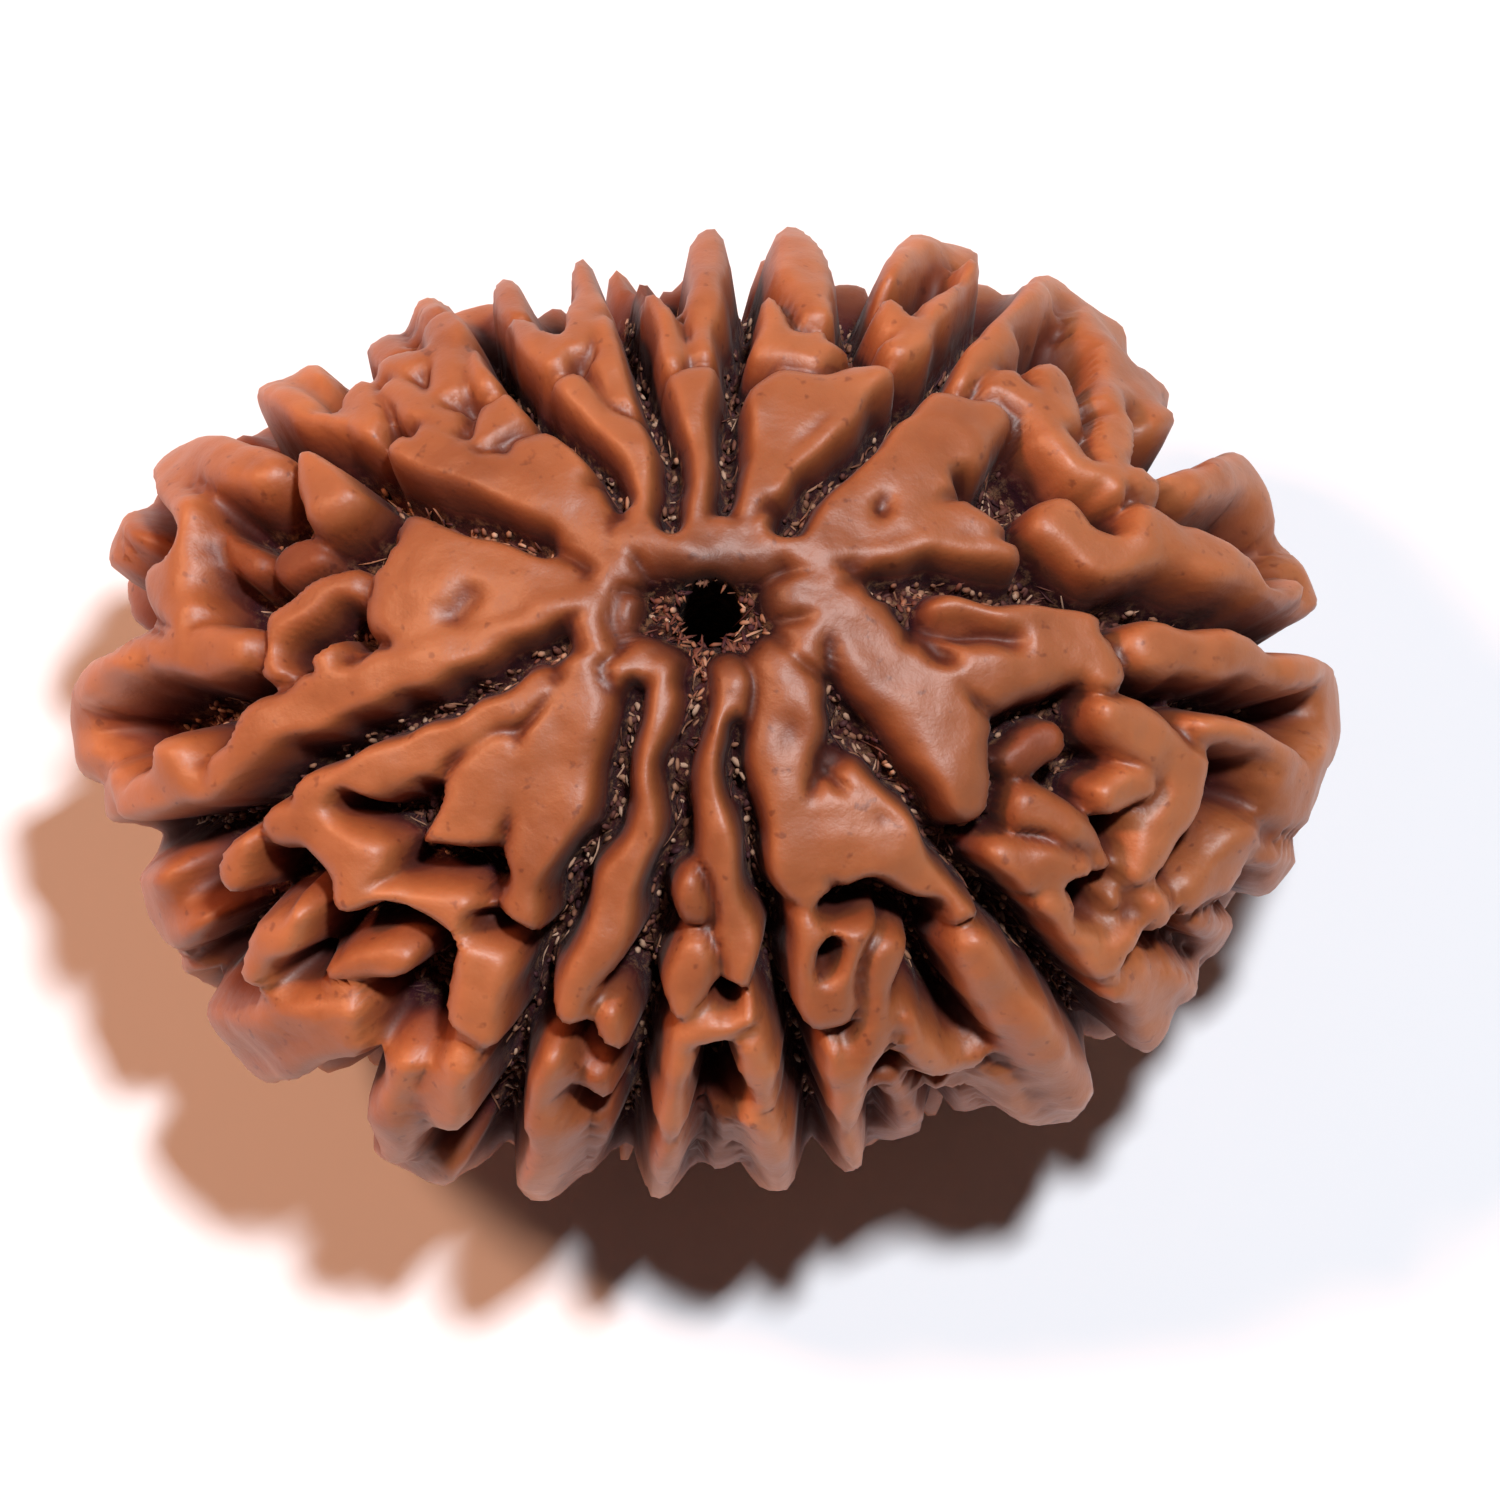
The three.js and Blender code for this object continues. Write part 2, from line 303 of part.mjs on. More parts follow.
// Each hole is its depth (1 goes down to the crevice floor) and a line like a ridge's.
const HOLES = [
  [1, [-12.2, 0.1, 0.4], [-10.6, -0.3, 0.5]],
  [0.9, [-11.6, 4.4, 0.12], [-11.5, 3.4, 0.12]],
  [0.18, [-5.5, 2.1, 0.3], [-5.3, 2.4, 0.3]],
  [0.9, [-9, 1.2, 0.3], [-8, 2, 0.3]],
  [0.8, [-7.3, 3.3, 0.25], [-7.3, 3.4, 0.25]],
  [1, [2.8, 8.1, 0.35], [2.9, 8.4, 0.3], [3.3, 10.5, 0.35]],
  [0.8, [-3.55, 8.3, 0.15], [-4, 10.5, 0.3]],
  [1, [4.5, 8.95, 0.25], [4.6, 8.95, 0.25]],
  [0.9, [5.4, 5, 0.3], [6.4, 4.4, 0.3]],
  [0.25, [3.6, 4.3, 0.14], [3.6, 4.4, 0.14]],
  [0.9, [6.7, 8, 0.2], [6.8, 8, 0.2]],
  [0.85, [9.3, 5.3, 0.2], [11.5, 6.9, 0.35]],
  [0.9, [9.85, 4.7, 0.14], [9.9, 4.7, 0.14]],
  [0.8, [11.5, 3.6, 0.2], [11.8, 3, 0.2]],
  [0.9, [8.5, 4.3, 0.3], [8.6, 4.3, 0.3]],
  [0.45, [3.6, 2.7, 0.25], [4.1, 2.1, 0.25], [4.6, 1.5, 0.25], [4.9, 1.15, 0.25]],
  [0.3, [4.8, 1.8, 0.3], [6.3, 1.6, 0.3]],
  [0.9, [10, 0.4, 0.25], [11.8, 0.1, 0.25]],
  [0.9, [11.7, -1.3, 0.35], [11.8, -1.3, 0.3]],
  [0.9, [8.1, -4.4, 0.3], [8.1, -4.5, 0.3]],
  [0.6, [7.8, -3.9, 0.12], [8.5, -3.8, 0.12]],
  [0.12, [1.6, -0.5, 0.4], [1.6, -0.6, 0.4]],
  [1, [2.6, -4.3, 0.3], [3.5, -4.1, 0.35], [4.5, -4.4, 0.35], [4.6, -5.5, 0.35],
    [4.4, -6.1, 0.35], [5.4, -7.2, 0.3]],
  [0.8, [2.4, -5.2, 0.15], [2.4, -5.5, 0.15]],
  [0.9, [0.4, -6.15, 0.3], [0.4, -6.2, 0.25]],
  [1, [0, -7.5, 0.3], [0.1, -8.6, 0.35]],
  [0.9, [-2.4, -7.4, 0.25], [-2.5, -7.4, 0.2]],
  [0.9, [-6.2, -1.7, 0.25], [-6.5, -2.5, 0.25], [-7.9, -2.1, 0.25]],
  [0.9, [-6.4, -3.2, 0.35], [-5, -3.3, 0.35], [-4.7, -3.7, 0.3]],
  [1, [-9.3, -3.6, 0.5], [-9.2, -3.7, 0.45]],
  [1, [-8.2, -4.6, 0.3], [-7, -4.4, 0.3], [-5.8, -5, 0.3]],
  [1, [-8.6, -5.5, 0.3], [-8.5, -5.5, 0.3]],
  [0.9, [-10.4, -5.8, 0.25], [-10.4, -5.9, 0.25]],
  [0.8, [-5, -4.6, 0.2], [-4.3, -4.85, 0.2]],
  [0.9, [-7.5, -7.4, 0.15], [-9.2, -9, 0.35]],
  [0.7, [-9.3, -6.9, 0.12], [-9.3, -7, 0.12]],
];

// Where each groove crosses the rim, as an angle round the egg, paired with the groove it
// runs on into when the bead is turned over about its long way.
const GROOVE_TURNS = [
  [-157, 153], [-113, 126], [-99, 103], [-78, 86], [-49, 50], [5, 5],
  [50, -49], [86, -78], [103, -99], [126, -113], [153, -157], [203, -207],
];

const RIDGES = [
  ...COLLAR, ...LEFT, ...BACK_LEFT, ...BACK, ...BACK_RIGHT, ...RIGHT, ...FRONT_RIGHT,
  ...FRONT, ...FRONT_LEFT,
];

function smooth(from, to, value) {
  const t = Math.min(Math.max((value - from) / (to - from), 0), 1);
  return t * t * (3 - 2 * t);
}

// Value at an angle in degrees, from a list of [angle, value] in order.
function between(list, angle) {
  const above = list.findIndex(([at]) => at > angle);
  const next = above < 0 ? list.length - 1 : Math.max(above, 1);
  const [from, start] = list[next - 1];
  const [to, end] = list[next];
  return start + (end - start) * (angle - from) / (to - from);
}

function angleRound(point) {
  return Math.atan2(point.y / HALF_WIDTH, point.x / HALF_LENGTH) * 180 / Math.PI;
}

// Point of the egg seen at (u, v) on the drawing plane; one near the edge is drawn in.
function onEgg(u, v) {
  const sine = Math.sin(SIGHT_ANGLE);
  const cosine = Math.cos(SIGHT_ANGLE);
  const halfSeen = Math.hypot(HALF_WIDTH * sine, HALF_HEIGHT * cosine);
  const limit = Math.sin(DRAWN_LIMIT * Math.PI / 180);
  const keep = Math.min(1, limit / Math.hypot(u / HALF_LENGTH, v / halfSeen));
  const across = u * keep;
  const up = v * keep;
  const width2 = HALF_WIDTH ** 2;
  const height2 = HALF_HEIGHT ** 2;
  const a = cosine ** 2 / width2 + sine ** 2 / height2;
  const b = 2 * up * sine * cosine * (1 / height2 - 1 / width2);
  const c = (across / HALF_LENGTH) ** 2 - 1
    + up * up * (sine ** 2 / width2 + cosine ** 2 / height2);
  const toward = (Math.sqrt(b * b - 4 * a * c) - b) / (2 * a);
  return new Vector3(across, up * sine - toward * cosine, up * cosine + toward * sine);
}

// A line on the plane becomes a chain of points on the egg with the half width at each.
function chain(points, foot, rimFoot) {
  const knots = [];
  points.slice(1).forEach((end, index) => {
    const start = points[index];
    const length = Math.hypot(end[0] - start[0], end[1] - start[1]);
    const steps = Math.max(1, Math.ceil(length / 0.5));
    for (let step = index === 0 ? 0 : 1; step <= steps; step += 1) {
      const t = step / steps;
      const [u, v, half] = start.map((value, part) => value + (end[part] - value) * t);
      const at = onEgg(u, v);
      const outer = smooth(0.4, 0.9, spreadAt(at));
      knots.push({ at, half: half + foot + (rimFoot - foot) * outer });
    }
  });
  return knots;
}

function stroke(height, points, foot, rimFoot) {
  const knots = chain(points, foot, rimFoot);
  const widest = Math.max(...knots.map((knot) => knot.half));
  const middle = knots[Math.floor(knots.length / 2)].at;
  const reach = Math.max(...knots.map((knot) => knot.at.distanceTo(middle))) + widest;
  return { height, knots, middle, reach, widest };
}

const along = new Vector3();
const away = new Vector3();

// How far inside a stroke a point of the egg lies: 0 outside it, 1 where it's level.
function insideShare({ knots, middle, reach }, point, shoulder) {
  if (point.distanceTo(middle) > reach) {
    return 0;
  }
  let best = 0;
  for (let index = 1; index < knots.length; index += 1) {
    const start = knots[index - 1];
    const end = knots[index];
    along.subVectors(end.at, start.at);
    away.subVectors(point, start.at);
    const t = Math.min(Math.max(away.dot(along) / (along.lengthSq() || 1), 0), 1);
    const half = start.half + (end.half - start.half) * t;
    const inside = half - away.addScaledVector(along, -t).length();
    best = Math.max(best, Math.min(inside / Math.min(half, shoulder), 1));
  }
  return best;
}

const ridges = RIDGES.map(([height, ...points]) => stroke(height, points, FOOT, FOOT_AT_RIM));
const holes = HOLES.map(([depth, ...points]) => stroke(depth, points, LIP, LIP));
const grooves = GROOVES.map((points) => {
  const [u, v, half] = points[points.length - 1];
  return stroke(1, [...points, [u * 1.3, v * 1.3, half]], LIP, LIP);
});

// How far out towards the rim a point lies: 0 over the thread hole, 1 at the rim.
function spreadAt({ x, y }) {
  return Math.hypot(x / HALF_LENGTH, y / HALF_WIDTH);
}

function creviceDepth(point) {
  const rim = smooth(0.1, 0.95, spreadAt(point));
  return CREVICE_AT_MOUTH + (CREVICE_AT_RIM - CREVICE_AT_MOUTH) * rim;
}

// Ridge height at a point on the drawn side of the egg, along a quarter circle from each
// ridge's foot and with a crease between two ridges that meet.
function raised(point) {
  const outer = smooth(0.6, 0.95, spreadAt(point));
  const shoulder = SHOULDER + (SHOULDER_AT_RIM - SHOULDER) * outer;
  const depth = creviceDepth(point);
  let best = 0;
  let second = 0;
  for (const ridge of ridges) {
    const outside = 1 - insideShare(ridge, point, shoulder);
    const width = Math.min(ridge.widest, shoulder);
    const power = 2 * Math.max(depth / width, 1) ** BLUNTNESS;
    const here = ridge.height * (1 - outside ** power) ** (1 / power);
    second = Math.max(second, Math.min(best, here));
    best = Math.max(best, here);
  }
  const close = Math.max(1 - (best - second) / CREASE_WIDTH, 0) ** 2;
  return Math.max(best - CREASE * close * smooth(0, 0.1, 1 - best), 0);
}

// How far holes and grooves cut down, each 0 to 1, at a point on the drawn side.
function cutDown(point) {
  const cut = (item) => item.height * smooth(0, 1, insideShare(item, point, SHOULDER));
  const deepest = (list) => Math.max(...list.map(cut));
  return { hole: deepest(holes), groove: deepest(grooves) };
}

// The far side wears the drawn side's pattern turned over about the long way, with the
// sectors stretched so that each groove runs on into another one.
function turnedOver(point) {
  const angle = angleRound(point);
  const turned = between(GROOVE_TURNS, angle < -157 ? angle + 360 : angle) * Math.PI / 180;
  const spread = spreadAt(point);
  return new Vector3(
    HALF_LENGTH * spread * Math.cos(turned),
    HALF_WIDTH * spread * Math.sin(turned),
    -point.z,
  );
}

// The line of sight, where lengths are measured in half sizes of the egg.
const SIGHT = new Vector3(
  0,
  -Math.cos(SIGHT_ANGLE) / HALF_WIDTH,
  Math.sin(SIGHT_ANGLE) / HALF_HEIGHT,
).normalize();

function unit(point) {
  return new Vector3(point.x / HALF_LENGTH, point.y / HALF_WIDTH, point.z / HALF_HEIGHT);
}

function offSight(point) {
  return SIGHT.angleTo(unit(point)) * 180 / Math.PI;
}

// Where on the drawn pattern a point looks its relief up.
function lookUp(point) {
  const angle = offSight(point);
  if (angle < RIM_START) {
    return point;
  }
  const drawn = (RIM_START + (angle - RIM_START) * RIM_STRETCH) * Math.PI / 180;
  const aside = unit(point).projectOnPlane(SIGHT).setLength(Math.sin(drawn));
  aside.addScaledVector(SIGHT, Math.cos(drawn));
  return aside.multiply(new Vector3(HALF_LENGTH, HALF_WIDTH, HALF_HEIGHT));
}

// Long and short waves that move a place on the pattern a little aside.
function wavered({ x, y, z }) {
  return new Vector3(
    x + WAVER * Math.sin(2.3 * y + 1.1 * z + 0.5) + QUIVER * Math.sin(4.7 * z - 3.1 * x + 1.9),
    y + WAVER * Math.sin(2.1 * z - 1.7 * x + 2.1) + QUIVER * Math.sin(4.3 * x + 2.9 * y + 0.3),
    z + WAVER * Math.sin(2.6 * x + 1.2 * y + 4) + QUIVER * Math.sin(5.1 * y - 2.7 * z + 1.1),
  );
}

// Relief on the drawn side: 1 on the ridge tops, 0 on the crevice floor.
function drawnRelief(point) {
  const at = wavered(lookUp(point));
  const { hole, groove } = cutDown(at);
  return raised(at) * (1 - hole) * (1 - groove) - GROOVE_EXTRA * groove;
}

function notched(point) {
  const off = offSight(point);
  const across = smooth(76, 86, off) * (1 - smooth(108, 120, off));
  const angle = angleRound(point);
  const cuts = NOTCHES.map(([middle, half]) => {
    return smooth(0, 1, 1 - Math.abs(angle - middle) / half);
  });
  return across * Math.max(...cuts);
}

function sharpRelief(point) {
  const farShare = smooth(FAR_START, FAR_FULL, offSight(point));
  const near = farShare < 1 ? drawnRelief(point) * (1 - farShare) : 0;
  const far = farShare > 0 ? drawnRelief(turnedOver(point)) * farShare : 0;
  return (near + far) * (1 - notched(point));
}

function outward({ x, y, z }) {
  return new Vector3(x / HALF_LENGTH ** 2, y / HALF_WIDTH ** 2, z / HALF_HEIGHT ** 2).normalize();
}

// The mean of places close round the point, every other one closer.
function relief(point) {
  const softness = SOFTNESS
    + (SOFTNESS_AT_RIM - SOFTNESS) * smooth(0.7, 1, spreadAt(point));
  const normal = outward(point);
  const aside = new Vector3(0.3, 0.5, 0.8).cross(normal).setLength(softness);
  const across = aside.clone().cross(normal);
  let total = 0;
  for (let index = 0; index < PLACES; index += 1) {
    const turn = index * 2 * Math.PI / PLACES;
    const far = index % 2 ? 0.5 : 1;
    const place = point.clone().addScaledVector(aside, far * Math.cos(turn));
    total += sharpRelief(place.addScaledVector(across, far * Math.sin(turn)));
  }
  return total / PLACES;
}

// Point of the egg for a row from 0 (bottom mouth) to 1 (top mouth) and an angle round;
// rings are circles at the mouths and widen into the egg's own ovals.
function eggPoint(row, angle) {
  const mouth = HOLE_RADIUS / HALF_LENGTH;
  const latitude = (row * 2 - 1) * Math.acos(mouth);
  const ring = Math.cos(latitude);
  const oval = smooth(0, 0.16, ring - mouth);
  const round = HOLE_RADIUS * ring / mouth;
  const outX = HALF_LENGTH * ring * Math.cos(angle);
  const outY = HALF_WIDTH * ring * Math.sin(angle);
  const x = (HOLE_X + round * Math.cos(angle)) * (1 - oval) + outX * oval;
  const y = round * Math.sin(angle) * (1 - oval) + outY * oval;
  const level = Math.max(1 - (x / HALF_LENGTH) ** 2 - (y / HALF_WIDTH) ** 2, 0);
  return new Vector3(x, y, Math.sign(latitude) * HALF_HEIGHT * Math.sqrt(level));
}

function shellPoint(row, angle) {
  const point = eggPoint(row, angle);
  const spread = spreadAt(point);
  const depth = creviceDepth(point);
  const swell = between(RIM_SWELL, angleRound(point)) * smooth(0.6, 1, spread);
  point.addScaledVector(outward(point), swell - depth * (1 - relief(point)));
  point.z = Math.max(point.z, WORN_FLAT - HALF_HEIGHT);
  return point;
}

// Wall of the thread hole between its two mouths, level 0 at the bottom and 1 at the top.
function holePoint(level, angle) {
  const bottom = shellPoint(0, angle);
  return bottom.lerp(shellPoint(1, angle), level);
}

// A ring-shaped grid wraps the outside of the bead and runs back up the thread hole.
function seedGeometry() {
  const geometry = new TorusGeometry(2, 1, ROWS, COLUMNS);
  const place = geometry.getAttribute("position");
  const grid = geometry.getAttribute("uv");
  for (let index = 0; index < place.count; index += 1) {
    const angle = (grid.getX(index) % 1) * 2 * Math.PI;
    const round = (grid.getY(index) + 0.5) % 1;
    const row = (round - HOLE_SHARE / 2) / (1 - HOLE_SHARE);
    const level = round < 0.5 ? 0.5 - round / HOLE_SHARE : 0.5 + (1 - round) / HOLE_SHARE;
    const point = row >= 0 && row <= 1 ? shellPoint(row, angle) : holePoint(level, angle);
    place.setXYZ(index, point.x, point.y, point.z);
  }
  geometry.deleteAttribute("uv");
  geometry.deleteAttribute("normal");
  return mergeVertices(geometry, 1e-5);
}

async function thinned(geometry) {
  const spare = geometry.getAttribute("position").count - TRIANGLES / 2;
  const thin = await new SimplifyModifier().modify(geometry, Math.round(spare));
  thin.computeBoundingBox();
  const { min, max } = thin.boundingBox;
  thin.translate(-(min.x + max.x) / 2, -(min.y + max.y) / 2, -min.z);
  thin.computeVertexNormals();
  return thin;
}

const shell = new MeshStandardMaterial({ color: 0xaa693f, roughness: 0.42, metalness: 0 });
shell.name = "seed_shell";
const seed = new Mesh(await thinned(seedGeometry()), shell);
seed.name = "rudraksha_seed";

const bead = new Group();
bead.name = "eleven_mukhi_rudraksha";
bead.add(seed);

export default bead;
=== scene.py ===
# %% [markdown]
# # Eleven mukhi rudraksha
# A rudraksha is the dried stone of a small blue fruit.  Once the flesh is washed off, what
# is left is one hard, woody, knobbly body with a natural hole from top to bottom.  Grooves
# run from mouth to mouth over the rim; this stone has eleven.  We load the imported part
# first.  It stays as it is, and everything modelled below is laid over it.

import math

import bpy
import numpy as np
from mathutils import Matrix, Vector, noise


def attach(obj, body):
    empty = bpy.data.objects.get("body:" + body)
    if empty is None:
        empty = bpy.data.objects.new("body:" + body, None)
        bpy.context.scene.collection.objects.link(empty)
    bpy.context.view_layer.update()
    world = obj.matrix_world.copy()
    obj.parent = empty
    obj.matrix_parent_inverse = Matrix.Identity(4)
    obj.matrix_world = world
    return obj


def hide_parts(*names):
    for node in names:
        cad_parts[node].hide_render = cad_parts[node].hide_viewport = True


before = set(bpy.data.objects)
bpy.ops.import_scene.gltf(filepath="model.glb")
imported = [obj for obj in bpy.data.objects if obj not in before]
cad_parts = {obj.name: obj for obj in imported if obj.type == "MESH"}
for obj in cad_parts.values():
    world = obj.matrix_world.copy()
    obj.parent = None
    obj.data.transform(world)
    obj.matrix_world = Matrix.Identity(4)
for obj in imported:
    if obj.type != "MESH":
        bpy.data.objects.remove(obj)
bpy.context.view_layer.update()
MM = 0.001

# %% [markdown]
# ## The egg under the relief
# The ridge tops of the real stone all reach one smooth, egg-like form, so the model starts
# from that form and cuts the crevices down from it.  All sizes are in millimetres here and
# are turned into metres when the vertices are placed.

# %% Sizes of the egg, its rim, its crevices and its thread hole
HALF_LENGTH = 13.35
HALF_WIDTH = 10.5
HALF_HEIGHT = 8.7
HOLE_RADIUS = 0.75
HOLE_X = -0.1
MOUTH_BLEND = 0.16
WORN_FLAT = 0.8
CREVICE_AT_MOUTH = 0.85
CREVICE_AT_RIM = 2.5
FOOT = 0.45
FOOT_AT_RIM = 0.27
LIP = 0.2
SHOULDER = 0.85
SHOULDER_AT_RIM = 1.25
BLUNTNESS = 0.55
CREASE = 0.3
CREASE_WIDTH = 0.25
SOFTNESS = 0.13
SOFTNESS_AT_RIM = 0.32
PLACES = 12
WAVER = 0.07
QUIVER = 0.05
GROOVE_EXTRA = 0.14
GROOVE_REACH = 1.3
STROKE_STEP = 0.5

# %% Where each size changes, as a share of the way from the mouth to the rim
CREVICE_CHANGE = (0.1, 0.95)
FOOT_CHANGE = (0.4, 0.9)
SHOULDER_CHANGE = (0.6, 0.95)
SOFTNESS_CHANGE = (0.7, 1.0)
SWELL_CHANGE = (0.6, 1.0)

# %% Angles in degrees, and how much the pattern is drawn out over the rim
SIGHT_ANGLE = 75
RIM_START = 66
RIM_STRETCH = 0.32
DRAWN_LIMIT = 75
FAR_START = 96
FAR_FULL = 108
NOTCH_START = (76, 86)
NOTCH_END = (108, 120)
NOTCHES = [[36.7, 4], [-128, 4.5]]
RIM_SWELL = [
    [-180, 0.2], [-157, 0], [-138, 0.7], [-114, 0.9], [-95, 0.1], [-76, 0], [-64, -0.4],
    [-55, 0.3], [-38, -0.3], [-27, -0.4], [-15, 0], [5, 0], [30, 0], [43, -0.1],
    [51, 0.3], [61, 0.7],
    [75, 0.3], [90, 0.1], [102, -0.1], [117, -0.2], [130, -0.3], [138, -0.1], [148, 0.4],
    [160, 0.6], [172, 0.3], [180, 0.2],
]
GROOVE_TURNS = [
    [-157, 153], [-113, 126], [-99, 103], [-78, 86], [-49, 50], [5, 5],
    [50, -49], [86, -78], [103, -99], [126, -113], [153, -157], [203, -207],
]

# %% [markdown]
# ## The eleven grooves
# Each groove was followed on a drawing plane square to the line of sight: u runs right, v
# runs up, and the third number is the half width of the groove.  A given list suits
# a grown thing better than a rule, because no two grooves wander alike.

# %% Lines of the grooves
GROOVES = [
  [[-3.2, 1.5, 0.3], [-4, 1.2, 0.3], [-5, 0.65, 0.3], [-6, 0.15, 0.3], [-7, -0.25, 0.3],
        [-8, -0.75, 0.3], [-9, -1.15, 0.3], [-10, -2.05, 0.3], [-11, -2.65, 0.3], [-12, -2.75, 0.3]],
  [[-3.6, 3.7, 0.25], [-4.5, 4.1, 0.3], [-5.5, 4.4, 0.3], [-6.5, 4.75, 0.3], [-7.2, 5, 0.3],
        [-7.6, 5.4, 0.3], [-8.2, 5.7, 0.3], [-8.9, 5.9, 0.3], [-9.6, 6.05, 0.3], [-10.8, 6.3, 0.3]],
  [[-1.95, 4.5, 0.2], [-2.3, 5.1, 0.25], [-2.8, 5.7, 0.25], [-3.3, 6.2, 0.25], [-3.8, 6.7, 0.25],
        [-4.2, 7.2, 0.25], [-4.7, 7.8, 0.25], [-4.9, 8.3, 0.25]],
  [[-0.85, 4.1, 0.2], [-0.9, 4.8, 0.25], [-1, 5.6, 0.25], [-1.15, 6.4, 0.25], [-1.4, 7.2, 0.25],
        [-1.65, 8, 0.25], [-1.9, 8.6, 0.25]],
  [[0.25, 4.6, 0.25], [0.3, 5.5, 0.3], [0.35, 6.3, 0.25], [0.4, 7, 0.15], [0.35, 7.6, 0.25],
        [0.4, 8.3, 0.3], [0.6, 9, 0.3], [0.75, 9.4, 0.3]],
  [[1.6, 3.9, 0.25], [2, 4.7, 0.4], [2.4, 5.2, 0.25], [2.7, 5.5, 0.25], [3.2, 5.9, 0.25],
        [3.7, 6.4, 0.25], [4.2, 6.9, 0.25], [4.6, 7.3, 0.25], [4.9, 7.6, 0.25], [5.2, 8.1, 0.25],
        [5.6, 8.6, 0.25], [6.3, 9.3, 0.25]],
  [[3.5, 2.8, 0.3], [4.5, 2.85, 0.35], [5.5, 2.85, 0.35], [6.5, 2.7, 0.35], [7.5, 2.65, 0.35],
        [8.5, 2.45, 0.35], [9.5, 2.4, 0.35], [10.3, 2.4, 0.35], [11, 2.25, 0.35], [11.7, 2.05, 0.35],
        [12.3, 1.7, 0.35], [12.6, 1.5, 0.35]],
  [[2.6, 0.1, 0.3], [3.2, -0.6, 0.35], [4, -1.5, 0.35], [4.7, -2.5, 0.35], [5.3, -3.2, 0.35],
        [5.9, -3.9, 0.35], [6.5, -4.6, 0.35], [7.1, -5.3, 0.35], [7.6, -6.1, 0.35],
        [8.1, -6.8, 0.35], [8.4, -7.5, 0.35]],
  [[0.45, -0.3, 0.15], [0.5, -1, 0.2], [0.55, -1.7, 0.22], [0.65, -2.4, 0.22], [0.8, -3.1, 0.22],
        [1, -3.7, 0.25], [1.2, -4.3, 0.28], [1.3, -5, 0.3], [1.3, -6.4, 0.3], [1.6, -7.1, 0.3],
        [1.9, -7.6, 0.3], [1.95, -8.2, 0.3], [2, -8.8, 0.3]],
  [[-0.35, 0.9, 0.2], [-0.45, 0.2, 0.25], [-0.6, -0.5, 0.3], [-0.8, -1.2, 0.3], [-0.85, -2, 0.3],
        [-0.85, -2.8, 0.3], [-1, -3.4, 0.3], [-1.2, -4, 0.3], [-1.3, -4.7, 0.3], [-1.4, -5.5, 0.3],
        [-1.4, -6.3, 0.3], [-1.5, -7, 0.3], [-1.6, -8.1, 0.3]],
  [[-1.7, 0.4, 0.2], [-1.8, -0.3, 0.25], [-1.9, -1, 0.3], [-2, -1.8, 0.3], [-2.3, -2.5, 0.3],
        [-2.7, -3.1, 0.3], [-3, -3.6, 0.3], [-3.2, -4.2, 0.3], [-3.4, -4.9, 0.3], [-3.6, -5.5, 0.3],
        [-3.8, -6.2, 0.3], [-4, -6.8, 0.3], [-4.3, -7.5, 0.3], [-4.4, -8.2, 0.3], [-4.7, -9.4, 0.3]],
]

# %% [markdown]
# ## The ridges and lobes
# The shell between two grooves stands up in worm-like ridges, rounded lobes and flat
# plates.  Each is one stroke: its height first (1 reaches the egg), then the points it
# passes through with the half width at each.

